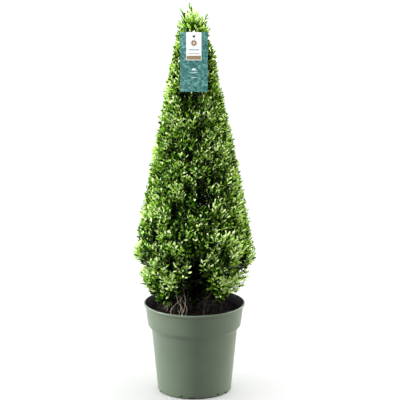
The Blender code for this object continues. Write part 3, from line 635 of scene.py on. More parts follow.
class Crown:
    def __init__(self, seed):
        self.rng = np.random.default_rng(seed)
        self.twigs = Tubes()
        self.boughs = Tubes()
        self.leaves = Leaves()
        self.hubs = []

    def shoot(
        self, base, way, length, tone, leaf_length, spacing=SHOOT_SPACING, rise=0.3,
        spread=(56, 28), slim=(0.38, 0.48), vary=1.45,
    ):
        """A leafy shoot that curves upwards: leaves spiral up it, small and new at its tip, and darker
        towards its base, partly as older leaves and partly as painted shade.
        """
        rng = self.rng
        way = unit(way)
        tip = base + unit(way + rise * UP) * length
        path = curve(base, way, tip, way + 2 * rise * UP, 4)
        self.twigs.add(path, np.linspace(*TWIG_WIDTH, 4) * MM, 3, caps=False)
        count = max(4, int(length / spacing))
        share = np.linspace(0.16, 1.0, count) ** 0.9
        at = np.stack([np.interp(share, np.linspace(0, 1, 4), path[:, k]) for k in range(3)], 1)
        axis = unit(np.array([mix(path[1] - path[0], path[3] - path[2], s) for s in share]))
        spin = rng.uniform(*ANY_ANGLE) + np.arange(count) * GOLDEN + rng.normal(0, 0.25, count)
        side = unit(np.cross(axis, np.array((0.31, 0.52, 0.79))))
        other = np.cross(axis, side)
        out = np.cos(spin)[:, None] * side + np.sin(spin)[:, None] * other
        open_by = np.radians(mix(*spread, share**1.4) + rng.normal(0, 9, count))[:, None]
        leaf_way = axis * np.cos(open_by) + out * np.sin(open_by)
        face = axis * np.sin(open_by) - out * np.cos(open_by) + rng.normal(0, 0.24, (count, 3))
        near_tip = np.clip((share - 0.7) / 0.3, 0, 1)
        size = leaf_length * mix(1.0, 0.68, near_tip) * rng.uniform(0.8, 1.18, count)
        # Leaves darken towards the shoot's base, partly as older leaves and partly as painted shade of the
        # crown's inside.
        shade_and_age = tone + (0.78 - share) * SHADE_AND_AGE_ALONG_SHOOT + rng.normal(0, vary, count)
        # Some leaves are made paler at random, as new growth and as painted highlights.
        shade_and_age = np.where(rng.random(count) < NEW_GROWTH_AND_GLINT_SHARE, shade_and_age - 2.0, shade_and_age)
        label = np.clip(np.round(shade_and_age), 0, len(LEAF_LOOKS) - 1).astype(int)
        self.leaves.add(at, leaf_way, face, size, size * rng.uniform(*slim, count), label)

    def grow(self):
        self.grow_boughs()
        self.grow_sprays()
        for pitch, depth, tone, top in INNER_LAYERS:
            self.grow_inside(pitch * MM, depth * MM, tone, top)
        self.grow_core()
        self.grow_tuft()

    def grow_boughs(self):
        """Boughs leave the leader at the slope of the tiers and fork towards the outline."""
        rng = self.rng
        low, high = BOUGH_Z
        azimuth = 0.0
        for z in np.arange(low, high, BOUGH_STEP):
            azimuth += GOLDEN
            reach = (0.56 + 0.08 * rng.standard_normal()) * float(envelope_radius(min(z + 0.07, 0.93)))
            way = polar(1, azimuth, 0.55)
            hub = leader_centre(z) + polar(reach, azimuth, reach * SHOOT_RISE * rng.uniform(0.7, 1.1))
            path = curve(leader_centre(z), way, hub, way + 0.4 * UP, 7)
            width = mix(*BOUGH_WIDTH, (z - low) / 0.64) * MM * rng.uniform(0.8, 1.2)
            self.boughs.add(path, np.linspace(width, 0.55 * width, 7), 6, caps=False)
            self.hubs.append(hub)
            for fork in (0.55, 0.8):
                at = path[int(fork * 6)]
                turned = azimuth + rng.choice((-1, 1)) * rng.uniform(0.5, 0.9)
                tip = at + polar(reach * 0.42, turned, reach * 0.42 * rng.uniform(0.5, 1.1))
                arm = curve(at, way, tip, polar(1, turned, 0.9), 5)
                self.boughs.add(arm, np.linspace(0.6 * width, 0.35 * width, 5), 5, caps=False)
                self.hubs.append(tip)
        self.hubs = np.array(self.hubs)

    def outline_places(self, wide, fine, depth):
        """Jittered places in rows round the crown, closer together towards its top: (azimuth, height)."""
        rng = self.rng
        z = CROWN_FOOT_Z + 6 * MM
        while z < CROWN_SHOULDER_Z + 6 * MM:
            pitch = mix(wide, fine, height_share(z))
            radius = max(float(envelope_radius(z)) - depth, 6 * MM)
            count = max(3, int(FULL_TURN * radius / pitch))
            start = rng.uniform(0, FULL_TURN)
            for n in range(count):
                azimuth = start + (n + rng.uniform(-0.34, 0.34)) * FULL_TURN / count
                yield azimuth % FULL_TURN, z + rng.uniform(-0.45, 0.45) * pitch
            z += pitch * 0.92

    def grow_sprays(self):
        """Sprays all over the outline, thinned out towards the foot, and the free ones."""
        rng = self.rng
        for azimuth, z in self.outline_places(*SPRAY_PITCH, 0):
            skirt = skirt_share(z)
            if rng.random() < 0.46 * skirt**1.1 or bare_foot(azimuth, z):
                continue
            self.spray(azimuth, z, mix(1.8, 0.8, skirt) * rng.uniform(0.7, 1.3))
        for azimuth, z, tone in FREE_SPRAYS:
            self.spray(math.radians(azimuth), z, rng.uniform(0.7, 1.1), tone)

    def spray(self, azimuth, z, rise, free_tone=None):
        """A twig off the nearest bough that forks into four shoots, clipped at the outline."""
        rng = self.rng
        high = height_share(z)
        free = free_tone is not None
        hollow = 0.0 if free else hollow_at(azimuth, z)
        margin = (-3 if free else -7) * MM - hollow
        radius = float(envelope_radius(z))
        if radius + margin < LEAST_SPRAY_RADIUS:
            return
        outward = polar(1, azimuth, 0)
        side = polar(1, azimuth + math.pi / 2, 0)
        stalk = min(mix(*SPRAY_STALK, high) * MM, 0.7 * radius)
        rise = max(0.25, min(rise, (z - 0.240) / stalk))
        way = unit(outward + rng.normal(0, 0.15) * side + rise * UP)
        base = polar(radius + margin, azimuth, z) - way * stalk
        self.join(base, way, azimuth)
        # A spray's tone: random, paler towards the crown's foot as painted light, and darker the deeper its
        # hollow as painted shade.
        tone = 2.3 - 0.65 * skirt_share(z) + rng.normal(0, mix(1.3, 0.8, high)) + max(hollow, 0) / (20 * MM)
        tone = free_tone if free else tone + painted_light_and_tone_patches(azimuth, z)
        size = mix(*SPRAY_LEAF, high) * rng.normal(1, 0.07) * MM
        turn = rng.uniform(0, FULL_TURN)
        for n in range(SPRAY_SHOOTS):
            spin = turn + n * math.pi / 2
            lean = 0.36 * rng.uniform(0.5, 1.35)
            aim = way + lean * (math.cos(spin) * side + 0.9 * math.sin(spin) * np.cross(outward, side))
            start = base + way * stalk * rng.uniform(0.05, 0.3)
            own = margin + hollow - abs(rng.normal(0, 3)) * MM
            own += (rng.random() < STRAY_SHARE) * rng.uniform(*STRAY_PAST) * MM
            length = length_to_outline(start, aim, own, 1.25 * stalk, free)
            if length > LEAST_SHOOT:
                own_tone = tone + rng.normal(0, 0.4)
                self.shoot(start, aim, length, own_tone, size, spacing=0.29 * size, slim=(0.33, 0.43))

    def join(self, base, way, azimuth):
        """A branch to here from the nearest fork below or, near the foot, from the soil."""
        rng = self.rng
        gaps = self.hubs - base
        nearest = np.argmin(np.sum(gaps**2, 1) + 8 * np.maximum(gaps[:, 2] + 4 * MM, 0) ** 2)
        sector = round(azimuth / STEM_SECTOR)
        turned = STEM_SECTOR * sector + rng.normal(0, 0.04)
        if gaps[nearest, 2] > 0 or np.linalg.norm(gaps[nearest]) > 60 * MM:
            if base[2] > 0.30:
                return
            start = polar((52 + 9 * (sector % 3)) * MM + rng.normal(0, 2) * MM, turned, SOIL_Z)
            joint = curve(start, UP, base, way, 9)
            self.boughs.add(joint, np.linspace(1.2, 0.8, 9) * MM, 5, caps=False)
            return
        hub = self.hubs[nearest]
        joint = curve(hub, base - hub + 10 * MM * UP, base, way, 5)
        self.boughs.add(joint, np.linspace(1.4, 1.0, 5) * MM, 4, caps=False)

    def grow_inside(self, pitch, depth, tone, top):
        """Growth behind the sprays, painted in dark tones as shade."""
        rng = self.rng
        for azimuth, z in self.outline_places(pitch, pitch, depth):
            reach = float(envelope_radius(z)) - depth - 0.8 * hollow_at(azimuth, z)
            if reach < LEAST_SHOOT:
                continue
            skirt = skirt_share(z)
            if z > top or rng.random() < 0.2 * skirt or bare_foot(azimuth, z, depth - 22 * MM):
                continue
            way = unit(polar(1, azimuth + rng.normal(0, 0.3), mix(0.9, 0.4, skirt) * rng.uniform(0.7, 1.3)))
            length = min(rng.uniform(28, 40) * MM, 0.75 * reach)
            base = polar(reach, azimuth, z) - way * length
            own_tone = tone + rng.normal(0, 0.4)
            self.shoot(base, way, length, own_tone, mix(*INNER_LEAF, height_share(z)) * MM, spread=(66, 34))

    def grow_core(self):
        """Short shoots on the leader's foot, painted in a dark tone as shade, which close the view through
        the crown.
        """
        rng = self.rng
        azimuth = 0.0
        for z in np.arange(*CORE_Z, CORE_STEP):
            azimuth += GOLDEN
            base = leader_centre(z) + polar(6 * MM, azimuth, 0)
            length = mix(30, 56, min(1, (z - LOWEST_GROWTH_Z) / 0.03)) * MM
            way = polar(1, azimuth, rng.uniform(0.1, 0.7))
            self.shoot(base, way, length, 5.0, SPRAY_LEAF[0] * MM, spread=(70, 44))

    def grow_tuft(self):
        """The loose head: longer, paler shoots that fan out of the leader's tip."""
        foot = leader_centre(LEADER_TOP_Z)
        for *tip, tone in TUFT_TIPS:
            tip = np.array(tip) * MM
            base = foot + (0.004 + 0.016 * self.rng.random()) * UP + 0.30 * (tip - foot) * LEVEL
            joint = curve(foot - 20 * MM * UP, UP, base, tip - base, 3)
            self.twigs.add(joint, np.linspace(1.3, 0.9, 3) * MM, 3, caps=False)
            aim = unit(tip - base) - 0.08 * UP
            length = float(np.linalg.norm(tip - base)) - 8 * MM
            self.shoot(base, aim, length, tone, TUFT_LEAF, SHOOT_SPACING, 0.08, (32, 7), (0.20, 0.28), 0.6)

    def pieces(self):
        self.twigs.piece("crown_twigs", twig_material(), MASSES)
        # The boughs' bark is painted near-black as the shade inside the crown.
        bark = bark_material("bough_bark", (0.008, 0.0065, 0.0045), (0.040, 0.032, 0.023), 0.1)
        self.boughs.piece("crown_boughs", bark, MASSES)
        self.leaves.pieces(MASSES)


# ---- leader and side stems

LEADER_RINGS = 90
STEM_RINGS = 26
BASAL_STEMS = 36
BASAL_RINGS = 18
LIT_FEET = (185, 225)  # azimuths of the side stems that stand in the light


def bark_relief(rng, rings, depth):
    """Ridges that wander round a stem: shares of its radius, for each ring and angle."""
    phases = rng.uniform(*ANY_ANGLE, 4)
    drift = np.cumsum(rng.normal(0, 0.16, (rings, 4)), axis=0)

    def relief(n, angles):
        ridges = sum(np.sin((3 + 2 * k) * angles + phases[k] + drift[n, k]) / (k + 1.5) for k in range(4))
        return depth * ridges

    return relief


def wander(rng, rings, step):
    """A stem's small sideways drift from ring to ring."""
    return np.cumsum(rng.normal(0, step, (rings, 3)), axis=0) * LEVEL


def make_leader(rng):
    foot = SOIL_Z - 2 * MM
    heights = foot + (LEADER_TOP_Z - SOIL_Z + 2 * MM) * np.linspace(0, 1, LEADER_RINGS) ** 1.35
    flare = 1 + (ROOT_FLARE - 1) * np.exp(-np.clip(heights - SOIL_Z, 0, 1) / (0.55 * FLARE_HEIGHT))
    radii = [leader_radius(z) * f * 0.98 for z, f in zip(heights, flare)]
    leader = Tubes()
    leader.add([leader_centre(z) for z in heights], radii, 18, bark_relief(rng, LEADER_RINGS, 0.07))
    # The leader's bark is painted near-black as the shade in the crown's middle.
    shaded = bark_material("leader_bark", (0.004, 0.0034, 0.0026), (0.020, 0.016, 0.012), 0.05)
    leader.piece("leader_bark", shaded, ["leader"])


def make_stems():
    rng = np.random.default_rng(11)
    make_leader(rng)
    lit, dim = Tubes(), Tubes()
    for foot_deg, foot_r, top_deg, top_r, thick in SIDE_STEMS.values():
        foot = polar(foot_r * MM, math.radians(foot_deg), SOIL_Z - 2 * MM)
        top = polar(top_r * MM, math.radians(top_deg), SKIRT_CORE_Z)
        path = curve(foot, UP + 4 * (top - foot) * LEVEL, top, UP, STEM_RINGS, 0.35)
        along = np.linspace(0, 1, STEM_RINGS)
        drift = wander(rng, STEM_RINGS, 0.12 * MM)
        drift -= along[:, None] * drift[-1]
        taper = thick * MM / 2 * (0.82 + 0.5 * np.exp(-along * 12))
        side = lit if LIT_FEET[0] < foot_deg < LIT_FEET[1] else dim
        side.add(path + drift, taper, 10, bark_relief(rng, STEM_RINGS, 0.08))
    for n in range(BASAL_STEMS):
        front_left = n < 16
        azimuth = math.radians(rng.uniform(194, 250) if front_left else rng.uniform(-50, 200))
        foot_r = (rng.uniform(56, 99) if front_left else rng.uniform(34, 90)) * MM
        foot = polar(foot_r, azimuth, SOIL_Z + 1 * MM)
        turned = azimuth + rng.normal(0, 0.45)
        if front_left:
            turned = min(turned, math.radians(252))
        top = polar(min(foot_r + rng.uniform(-16, 26) * MM, 104 * MM), turned, rng.uniform(0.262, 0.325))
        lean = rng.normal(0, 0.4, 3) * LEVEL
        path = curve(foot, UP + lean, top, UP - 0.5 * lean, BASAL_RINGS, 0.45)
        path = path + wander(rng, BASAL_RINGS, 0.25 * MM)
        radii = np.linspace(rng.uniform(0.5, 1.0), 0.4, BASAL_RINGS) * MM
        side = lit if front_left and n % 3 else dim
        side.add(path, radii, 7, bark_relief(rng, BASAL_RINGS, 0.08))
    bark = bark_material("stem_bark", (0.075, 0.060, 0.046), (0.36, 0.300, 0.230))
    lit.piece("side_stems_bark", bark, list(SIDE_STEMS))
    # The stems that stand back under the crown get a darker copy of the bark: painted shade.
    shaded = bark_material("shaded_bark", (0.009, 0.0072, 0.0054), (0.042, 0.034, 0.025), 0.1)
    dim.piece("shaded_stems_bark", shaded)


# ---- pot

POT_SIDES = 144
SHARP_POT_DEG = 50


def wall_radius(z):
    top = BAND_FOOT_RADIUS - SHOULDER_STEP
    top_z = BAND_FOOT_Z - SHOULDER_DROP
    return mix(FOOT_RADIUS, top, (z - FOOT_ROUNDING) / (top_z - FOOT_ROUNDING))


def rounded_path(corners, steps=5):
    """A profile with each (radius, height, rounding) corner rounded by a quadratic arc."""
    path = []
    for n, (r, z, rounding) in enumerate(corners):
        here = np.array((r, z))
        if rounding == 0 or n in (0, len(corners) - 1):
            path.append(here)
            continue
        before = np.array(corners[n - 1][:2]) - here
        after = np.array(corners[n + 1][:2]) - here
        a = here + before / np.linalg.norm(before) * min(rounding, np.linalg.norm(before) / 2)
        b = here + after / np.linalg.norm(after) * min(rounding, np.linalg.norm(after) / 2)
        for t in np.linspace(0, 1, steps):
            path.append((1 - t) ** 2 * a + 2 * (1 - t) * t * here + t**2 * b)
    return path


def make_pot():
    """Turns the pot's inside and outside profiles into one closed wall, and drills it."""
    shoulder_z = BAND_FOOT_Z - SHOULDER_DROP
    groove_z = POT_HEIGHT - 2.6 * LIP_BEAD
    middle_z = mix(BAND_FOOT_Z, groove_z, 0.5)
    inner = rounded_path(
        [
            (0, BASE, 0),
            (FOOT_RADIUS - FOOT_ROUNDING - WALL, BASE, 2 * MM),
            (wall_radius(STRAIGHT_WALL_Z) - WALL, STRAIGHT_WALL_Z, 4 * MM),
            (wall_radius(shoulder_z) - WALL, shoulder_z + WALL / 2, 3 * MM),
            (BAND_FOOT_RADIUS - WALL, BAND_FOOT_Z + WALL / 2, 3 * MM),
            (BAND_TOP_RADIUS - WALL, groove_z, 3 * MM),
            (LIP_RADIUS - RIM_WIDTH - 0.8 * MM, POT_HEIGHT - LIP_BEAD, 1 * MM),
            (LIP_RADIUS - RIM_WIDTH, POT_HEIGHT - 0.8 * MM, 1 * MM),
        ]
    )
    outer = rounded_path(
        [
            (LIP_RADIUS - RIM_WIDTH + 0.4 * MM, POT_HEIGHT, 1.0 * MM),
            (LIP_RADIUS, POT_HEIGHT, 1.7 * MM),
            (LIP_RADIUS, POT_HEIGHT - 2 * LIP_BEAD, 2 * MM),
            (BAND_TOP_RADIUS + 0.6 * MM, groove_z, 1.5 * MM),
            (mix(BAND_FOOT_RADIUS, BAND_TOP_RADIUS, 0.5) + 0.5 * MM, middle_z, 0),
            (BAND_FOOT_RADIUS + 0.4 * MM, BAND_FOOT_Z + 3 * MM, 3 * MM),
            (BAND_FOOT_RADIUS - 1.2 * MM, BAND_FOOT_Z, 2 * MM),
            (wall_radius(shoulder_z) + 0.2 * MM, shoulder_z, 3.5 * MM),
            (wall_radius(STRAIGHT_WALL_Z), STRAIGHT_WALL_Z, 0),
            (FOOT_RADIUS, 0, FOOT_ROUNDING),
            (0, 0, 0),
        ]
    )
    path = inner + outer
    rings = len(path) - 2
    points = [(0, 0, path[0][1])]
    for r, z in path[1:-1]:
        points += [polar(r, k * FULL_TURN / POT_SIDES, z) for k in range(POT_SIDES)]
    points.append((0, 0, path[-1][1]))
    last = len(points) - 1
    foot = 1 + (rings - 1) * POT_SIDES
    faces = cap_fan(POT_SIDES) + ring_quads(rings, POT_SIDES)
    faces += [(foot + k, last, foot + (k + 1) % POT_SIDES) for k in range(POT_SIDES)]
    within = POT_SIDES * len(inner)
    slots = [1] * within + [0] * (len(faces) - within)
    looks = [pot_material(), pot_inside_material()]
    pot = mesh_piece("pot_moulded", points, faces, looks, slots, ["pot"])
    bm = bmesh.new()
    bm.from_mesh(pot.data)
    bmesh.ops.recalc_face_normals(bm, faces=bm.faces)
    bm.to_mesh(pot.data)
    bm.free()
    drill_pot(pot)
    return pot


def drill_pot(pot):
    """Cuts the arched notches and the small holes out of the foot."""
    arch = (NOTCH_WIDTH**2 / 4 + NOTCH_HEIGHT**2) / (2 * NOTCH_HEIGHT)
    bm = bmesh.new()
    for n in range(NOTCHES):
        azimuth = math.radians(FIRST_NOTCH_DEG + 360 * n / NOTCHES)
        beside = azimuth + math.radians(DRAIN_HOLE_OFFSET_DEG)
        for angle, radius, z, depth, sides in (
            (azimuth, arch, NOTCH_HEIGHT - arch, 22 * MM, 48),
            (beside, DRAIN_HOLE_RADIUS, DRAIN_HOLE_Z, 16 * MM, 20),
        ):
            at = Matrix.Translation(Vector(polar(FOOT_RADIUS + depth / 3, angle, z)))
            turn = Matrix.Rotation(angle + math.pi / 2, 4, "Z") @ Matrix.Rotation(math.pi / 2, 4, "X")
            size = {"radius1": radius, "radius2": radius, "depth": 2 * depth}
            bmesh.ops.create_cone(bm, cap_ends=True, segments=sides, matrix=at @ turn, **size)
    cutter = add_object("pot_cutters", mesh_of(bm, "pot_cutters"))
    cut = pot.modifiers.new("Drainage", "BOOLEAN")
    cut.operation = "DIFFERENCE"
    cut.object = cutter
    cut.solver = "EXACT"
    bpy.context.view_layer.update()
    graph = bpy.context.evaluated_depsgraph_get()
    done = bpy.data.meshes.new_from_object(pot.evaluated_get(graph))
    pot.modifiers.clear()
    pot.data = done
    bpy.data.objects.remove(cutter, do_unlink=True)
    done.set_sharp_from_angle(angle=math.radians(SHARP_POT_DEG))


# ---- compost

SOIL_RADIUS = mix(BAND_FOOT_RADIUS, BAND_TOP_RADIUS, 0.67) - WALL - 1.6 * MM
SOIL_RINGS = 44
SOIL_SIDES = 150
BIT_SCALE = 150
SOIL_BITS = (  # name, number, dark and light colour, least and greatest size in millimetres
    ("bark_bits", 800, (0.003, 0.0024, 0.002), (0.016, 0.012, 0.009), 2.0, 6.5),
    ("wood_bits", 90, (0.04, 0.024, 0.014), (0.13, 0.085, 0.050), 1.8, 5.0),
    ("pale_bits", 40, (0.38, 0.34, 0.26), (0.60, 0.56, 0.48), 1.2, 3.2),
)
BIT_CORNERS = np.array([(1, 0, 0), (-1, 0, 0), (0, 1, 0), (0, -1, 0), (0, 0, 1), (0, 0, -1)])
BIT_FACES = np.array([(0, 2, 4), (2, 1, 4), (1, 3, 4), (3, 0, 4), (2, 0, 5), (1, 2, 5), (3, 1, 5), (0, 3, 5)])


def soil_level(r):
    """The compost's height, flat in the middle and sunk towards the wall."""
    return SOIL_Z - SOIL_EDGE_DROP * max(0, (r - SOIL_FLAT_RADIUS) / (SOIL_RADIUS - SOIL_FLAT_RADIUS))


def make_compost(nodes):
    """An uneven surface just over the CAD block, with bits of bark and wood on it."""
    # The compost's own dark colour, made darker still as painted shade from the crown above it.
    dark = compost_material("compost_dark", (0.0006, 0.0006, 0.0005), (0.0036, 0.0032, 0.0026))
    nodes["compost"].data.materials.clear()
    nodes["compost"].data.materials.append(dark)
    rng = np.random.default_rng(5)
    points = [(0, 0, SOIL_Z + 3 * MM)]
    waves = [(rng.uniform(60, 420), rng.uniform(*ANY_ANGLE), rng.uniform(*ANY_ANGLE)) for _ in range(26)]
    for i in range(1, SOIL_RINGS + 1):
        r = SOIL_RADIUS * (i / SOIL_RINGS) ** 0.8
        for k in range(SOIL_SIDES):
            x, y, _ = polar(r, FULL_TURN * k / SOIL_SIDES, 0)
            lift = sum(math.sin(f * (x * math.cos(t) + y * math.sin(t)) + p) * 60 / f for f, t, p in waves)
            fade = 1 if i < SOIL_RINGS else 0
            rough = (2.0 + 0.55 * lift + rng.uniform(-0.5, 0.5)) * MM
            points.append((x, y, soil_level(r) + rough * fade + 0.35 * MM))
    faces = cap_fan(SOIL_SIDES) + ring_quads(SOIL_RINGS, SOIL_SIDES)
    mesh_piece("compost_surface", points, faces, [dark])
    for name, count, low, high, small, large in SOIL_BITS:
        bits = [soil_bit(rng, small, large) for _ in range(count)]
        faces = np.concatenate([BIT_FACES + n * len(BIT_CORNERS) for n in range(count)])
        material = compost_material(name + "_colour", low, high, BIT_SCALE)
        triangle_piece(name, np.concatenate(bits), faces, material, smooth=False)


def soil_bit(rng, small, large):
    """The corners of one uneven chip that lies on the compost."""
    r = SOIL_RADIUS * math.sqrt(rng.random()) * 0.985
    centre = polar(r, rng.uniform(*ANY_ANGLE), soil_level(r) + rng.uniform(2.2, 5.0) * MM)
    size = rng.uniform(small, large) * MM / 2
    shape = BIT_CORNERS * (size * np.array((1, rng.uniform(0.3, 0.7), rng.uniform(0.2, 0.5))))
    shape *= rng.uniform(0.75, 1.25, (6, 1))
    spin, tilt = rng.uniform(*ANY_ANGLE), rng.normal(0, 0.35)
    c, s = math.cos(spin), math.sin(spin)
    ct, st = math.cos(tilt), math.sin(tilt)
    turn = np.array([(c, -s, 0), (s, c, 0), (0, 0, 1)]) @ np.array([(ct, 0, st), (0, 1, 0), (-st, 0, ct)])
    return shape @ turn.T + centre


# ---- labels

LABEL_BOW = 0.9 * MM
BOARD = 0.55 * MM  # thickness of the board, which lies in the middle of the CAD label
INK = 0.06 * MM
ON_BOARD = BOARD / 2 + 0.05 * MM
TAG_STEP = LABEL_THICKNESS + CONTACT_GAP
SHARP_LABEL_DEG = 40


def label_frame():
    return Matrix.Translation(LABEL_HOLE) @ Matrix.Rotation(math.radians(90 - LABEL_LEAN_DEG), 4, "X")


def label_point(x, y, z):
    """A place on a label, whose sides and foot curl a little."""
    across, down = x / (CARD_SIZE[0] / 2), (HOLE_BELOW_TOP - y) / CARD_SIZE[1]
    curl = LABEL_BOW * across**2 + LABEL_BOW * 0.6 * down**2
    return label_frame() @ Vector((x, y, z - curl))


def slice_across(bm, places, axis):
    """Cuts flat faces at places along an axis, so that they can be bent."""
    for at in places:
        normal = Vector(axis)
        geom = bm.verts[:] + bm.edges[:] + bm.faces[:]
        bmesh.ops.bisect_plane(bm, geom=geom, plane_co=at * normal, plane_no=normal)


def bend_onto_label(bm, thick, lift):
    """Gives flat faces a thickness and bends them on to the label's curl, lifted off its middle."""
    flat = bm.faces[:]
    for face in flat:
        if face.normal.z < 0:
            face.normal_flip()
    made = bmesh.ops.extrude_face_region(bm, geom=flat)
    for v in (g for g in made["geom"] if isinstance(g, bmesh.types.BMVert)):
        v.co.z = -thick
    bmesh.ops.recalc_face_normals(bm, faces=bm.faces)
    for v in bm.verts:
        v.co = label_point(v.co.x, v.co.y, v.co.z + lift)


def make_label(name, size, step_out, material, node):
    """A thin card with rounded corners and a punched hole, gently curled."""
    width, height = size
    top = HOLE_BELOW_TOP
    outline = []
    for quarter, (sx, sy) in enumerate(((1, 1), (-1, 1), (-1, -1), (1, -1))):
        cx = sx * (width / 2 - LABEL_CORNER)
        cy = (top - height / 2) + sy * (height / 2 - LABEL_CORNER)
        for a in np.linspace(90 * quarter, 90 * quarter + 90, 7):
            x, y, _ = polar(LABEL_CORNER, math.radians(a), 0)
            outline.append((cx + x, cy + y))
    hole = [polar(HOLE_RADIUS, a, 0)[:2] for a in np.linspace(0, FULL_TURN, 25)[:-1]]
    bm = bmesh.new()
    loops = []
    for ring in (outline, hole):
        verts = [bm.verts.new((x, y, 0)) for x, y in ring]
        loops += [bm.edges.new((verts[i], verts[(i + 1) % len(verts)])) for i in range(len(verts))]
    bmesh.ops.triangle_fill(bm, edges=loops, use_beauty=True)
    slice_across(bm, np.linspace(-width / 2, width / 2, 9)[1:-1], (1, 0, 0))
    slice_across(bm, np.linspace(top - height, top, 13)[1:-1], (0, 1, 0))
    bend_onto_label(bm, BOARD, step_out + BOARD / 2)
    piece = finish_piece(name, mesh_of(bm, name), [material], [node])
    piece.data.set_sharp_from_angle(angle=math.radians(SHARP_LABEL_DEG))


def decal(name, outlines, step_out, material):
    """Flat print of several closed outlines, just proud of a label."""
    bm = bmesh.new()
    for outline in outlines:
        bm.faces.new([bm.verts.new((x, y, 0)) for x, y in outline])
    slice_across(bm, np.arange(-32, 33, 4) * MM, (1, 0, 0))
    bend_onto_label(bm, INK, step_out + ON_BOARD)
    finish_piece(name, mesh_of(bm, name), [material], (), smooth=False)


def sprig(y, reach, length, width, turns, steps=9):
    """Plain pointed leaves that start at a reach from a point on the label's middle line, in millimetres."""
    t = np.linspace(0, 1, steps)
    half = width * MM / 2 * np.sin(math.pi * t**0.85)
    along = np.concatenate([t, t[-2:0:-1]]) * (length * MM)
    across = np.concatenate([half, -half[-2:0:-1]])
    outlines = []
    for turn in map(math.radians, turns):
        c, s = math.cos(turn), math.sin(turn)
        x0, y0 = reach * c * MM, (y + reach * s) * MM
        outlines.append([(x0 + a * c - b * s, y0 + a * s + b * c) for a, b in zip(along, across)])
    return outlines


def bar(x, y, width, height):
    """A rectangle about a point; millimetres."""
    corners = ((-1, -1), (1, -1), (1, 1), (-1, 1))
    return [((x + sx * width / 2) * MM, (y + sy * height / 2) * MM) for sx, sy in corners]


def painted_hole_shade_ring(inner, outer, step_deg=20):
    """Short four-cornered pieces of a flat ring round the hole, for its painted shade; radii in millimetres.
    """
    for a in range(0, 360, step_deg):
        turns = [math.radians(a), math.radians(a + step_deg)]
        corners = [(inner, turns[0]), (inner, turns[1]), (outer, turns[1]), (outer, turns[0])]
        yield [polar(r * MM, turn, 0)[:2] for r, turn in corners]


def make_labels():
    """The two labels, with generic bars and rosettes where real ones are printed."""
    make_label("label_card_print", CARD_SIZE, 0, card_material(), "label_card")
    white = plain_material("label_white", (0.305, 0.322, 0.317), 0.45, 0.05)
    make_label("label_tag_print", TAG_SIZE, TAG_STEP, white, "label_tag")
    pale = plain_material("print_pale", (0.34, 0.40, 0.39), 0.4, 0.1)
    tan = plain_material("print_tan", (0.100, 0.081, 0.027), 0.45, 0.3)
    brown = plain_material("print_brown", (0.115, 0.064, 0.032), 0.45, 0.2)
    grey = plain_material("print_grey", (0.085, 0.125, 0.145), 0.45, 0.15)
    # Black for the ring round the tag's hole: painted shade.
    black = plain_material("painted_hole_shade_black", (0.004, 0.004, 0.004), 0.6, 0.2)
    foot = (HOLE_BELOW_TOP - TAG_SIZE[1]) / MM
    wide = TAG_SIZE[0] / MM - 2.4
    stripes = [bar(0, foot + z, wide, 1.5) for z in (2.6, 10.0)]
    stripes += [bar(x, foot + 6.4, 2.6, 2.2) for x in range(-14, 15, 4)]
    stripes += [bar(0, -42.5, 27, 1.3)]
    rules = [bar(x, -33.2, 3.8, 3.4) for x in range(-10, 11, 5)]
    decal("tag_band", [bar(0, foot + 6.4, wide, 9.6)], TAG_STEP, tan)
    decal("tag_stripes", stripes, TAG_STEP + 0.05 * MM, brown)
    decal("tag_sprig", sprig(-16.8, 1.6, 7.4, 3.8, range(0, 360, 40)), TAG_STEP, brown)
    decal("tag_rules", rules, TAG_STEP, grey)
    # A black ring round the tag's hole: painted shade, so that the hole looks dark.
    decal("tag_painted_hole_shade", painted_hole_shade_ring(1.4, 3.4), TAG_STEP, black)
    marks = sprig(-83, 0.6, 5.2, 2.2, (90, 45, 135, 5, 175))
    marks += [bar(x, y, 3.0, 1.2) for y, ends in ((-89, 8), (-101, 5)) for x in range(-ends, ends + 1, 4)]
    decal("card_sprig", marks, 0, pale)


TIE_SIDES = 8
TIE_STEPS = 6


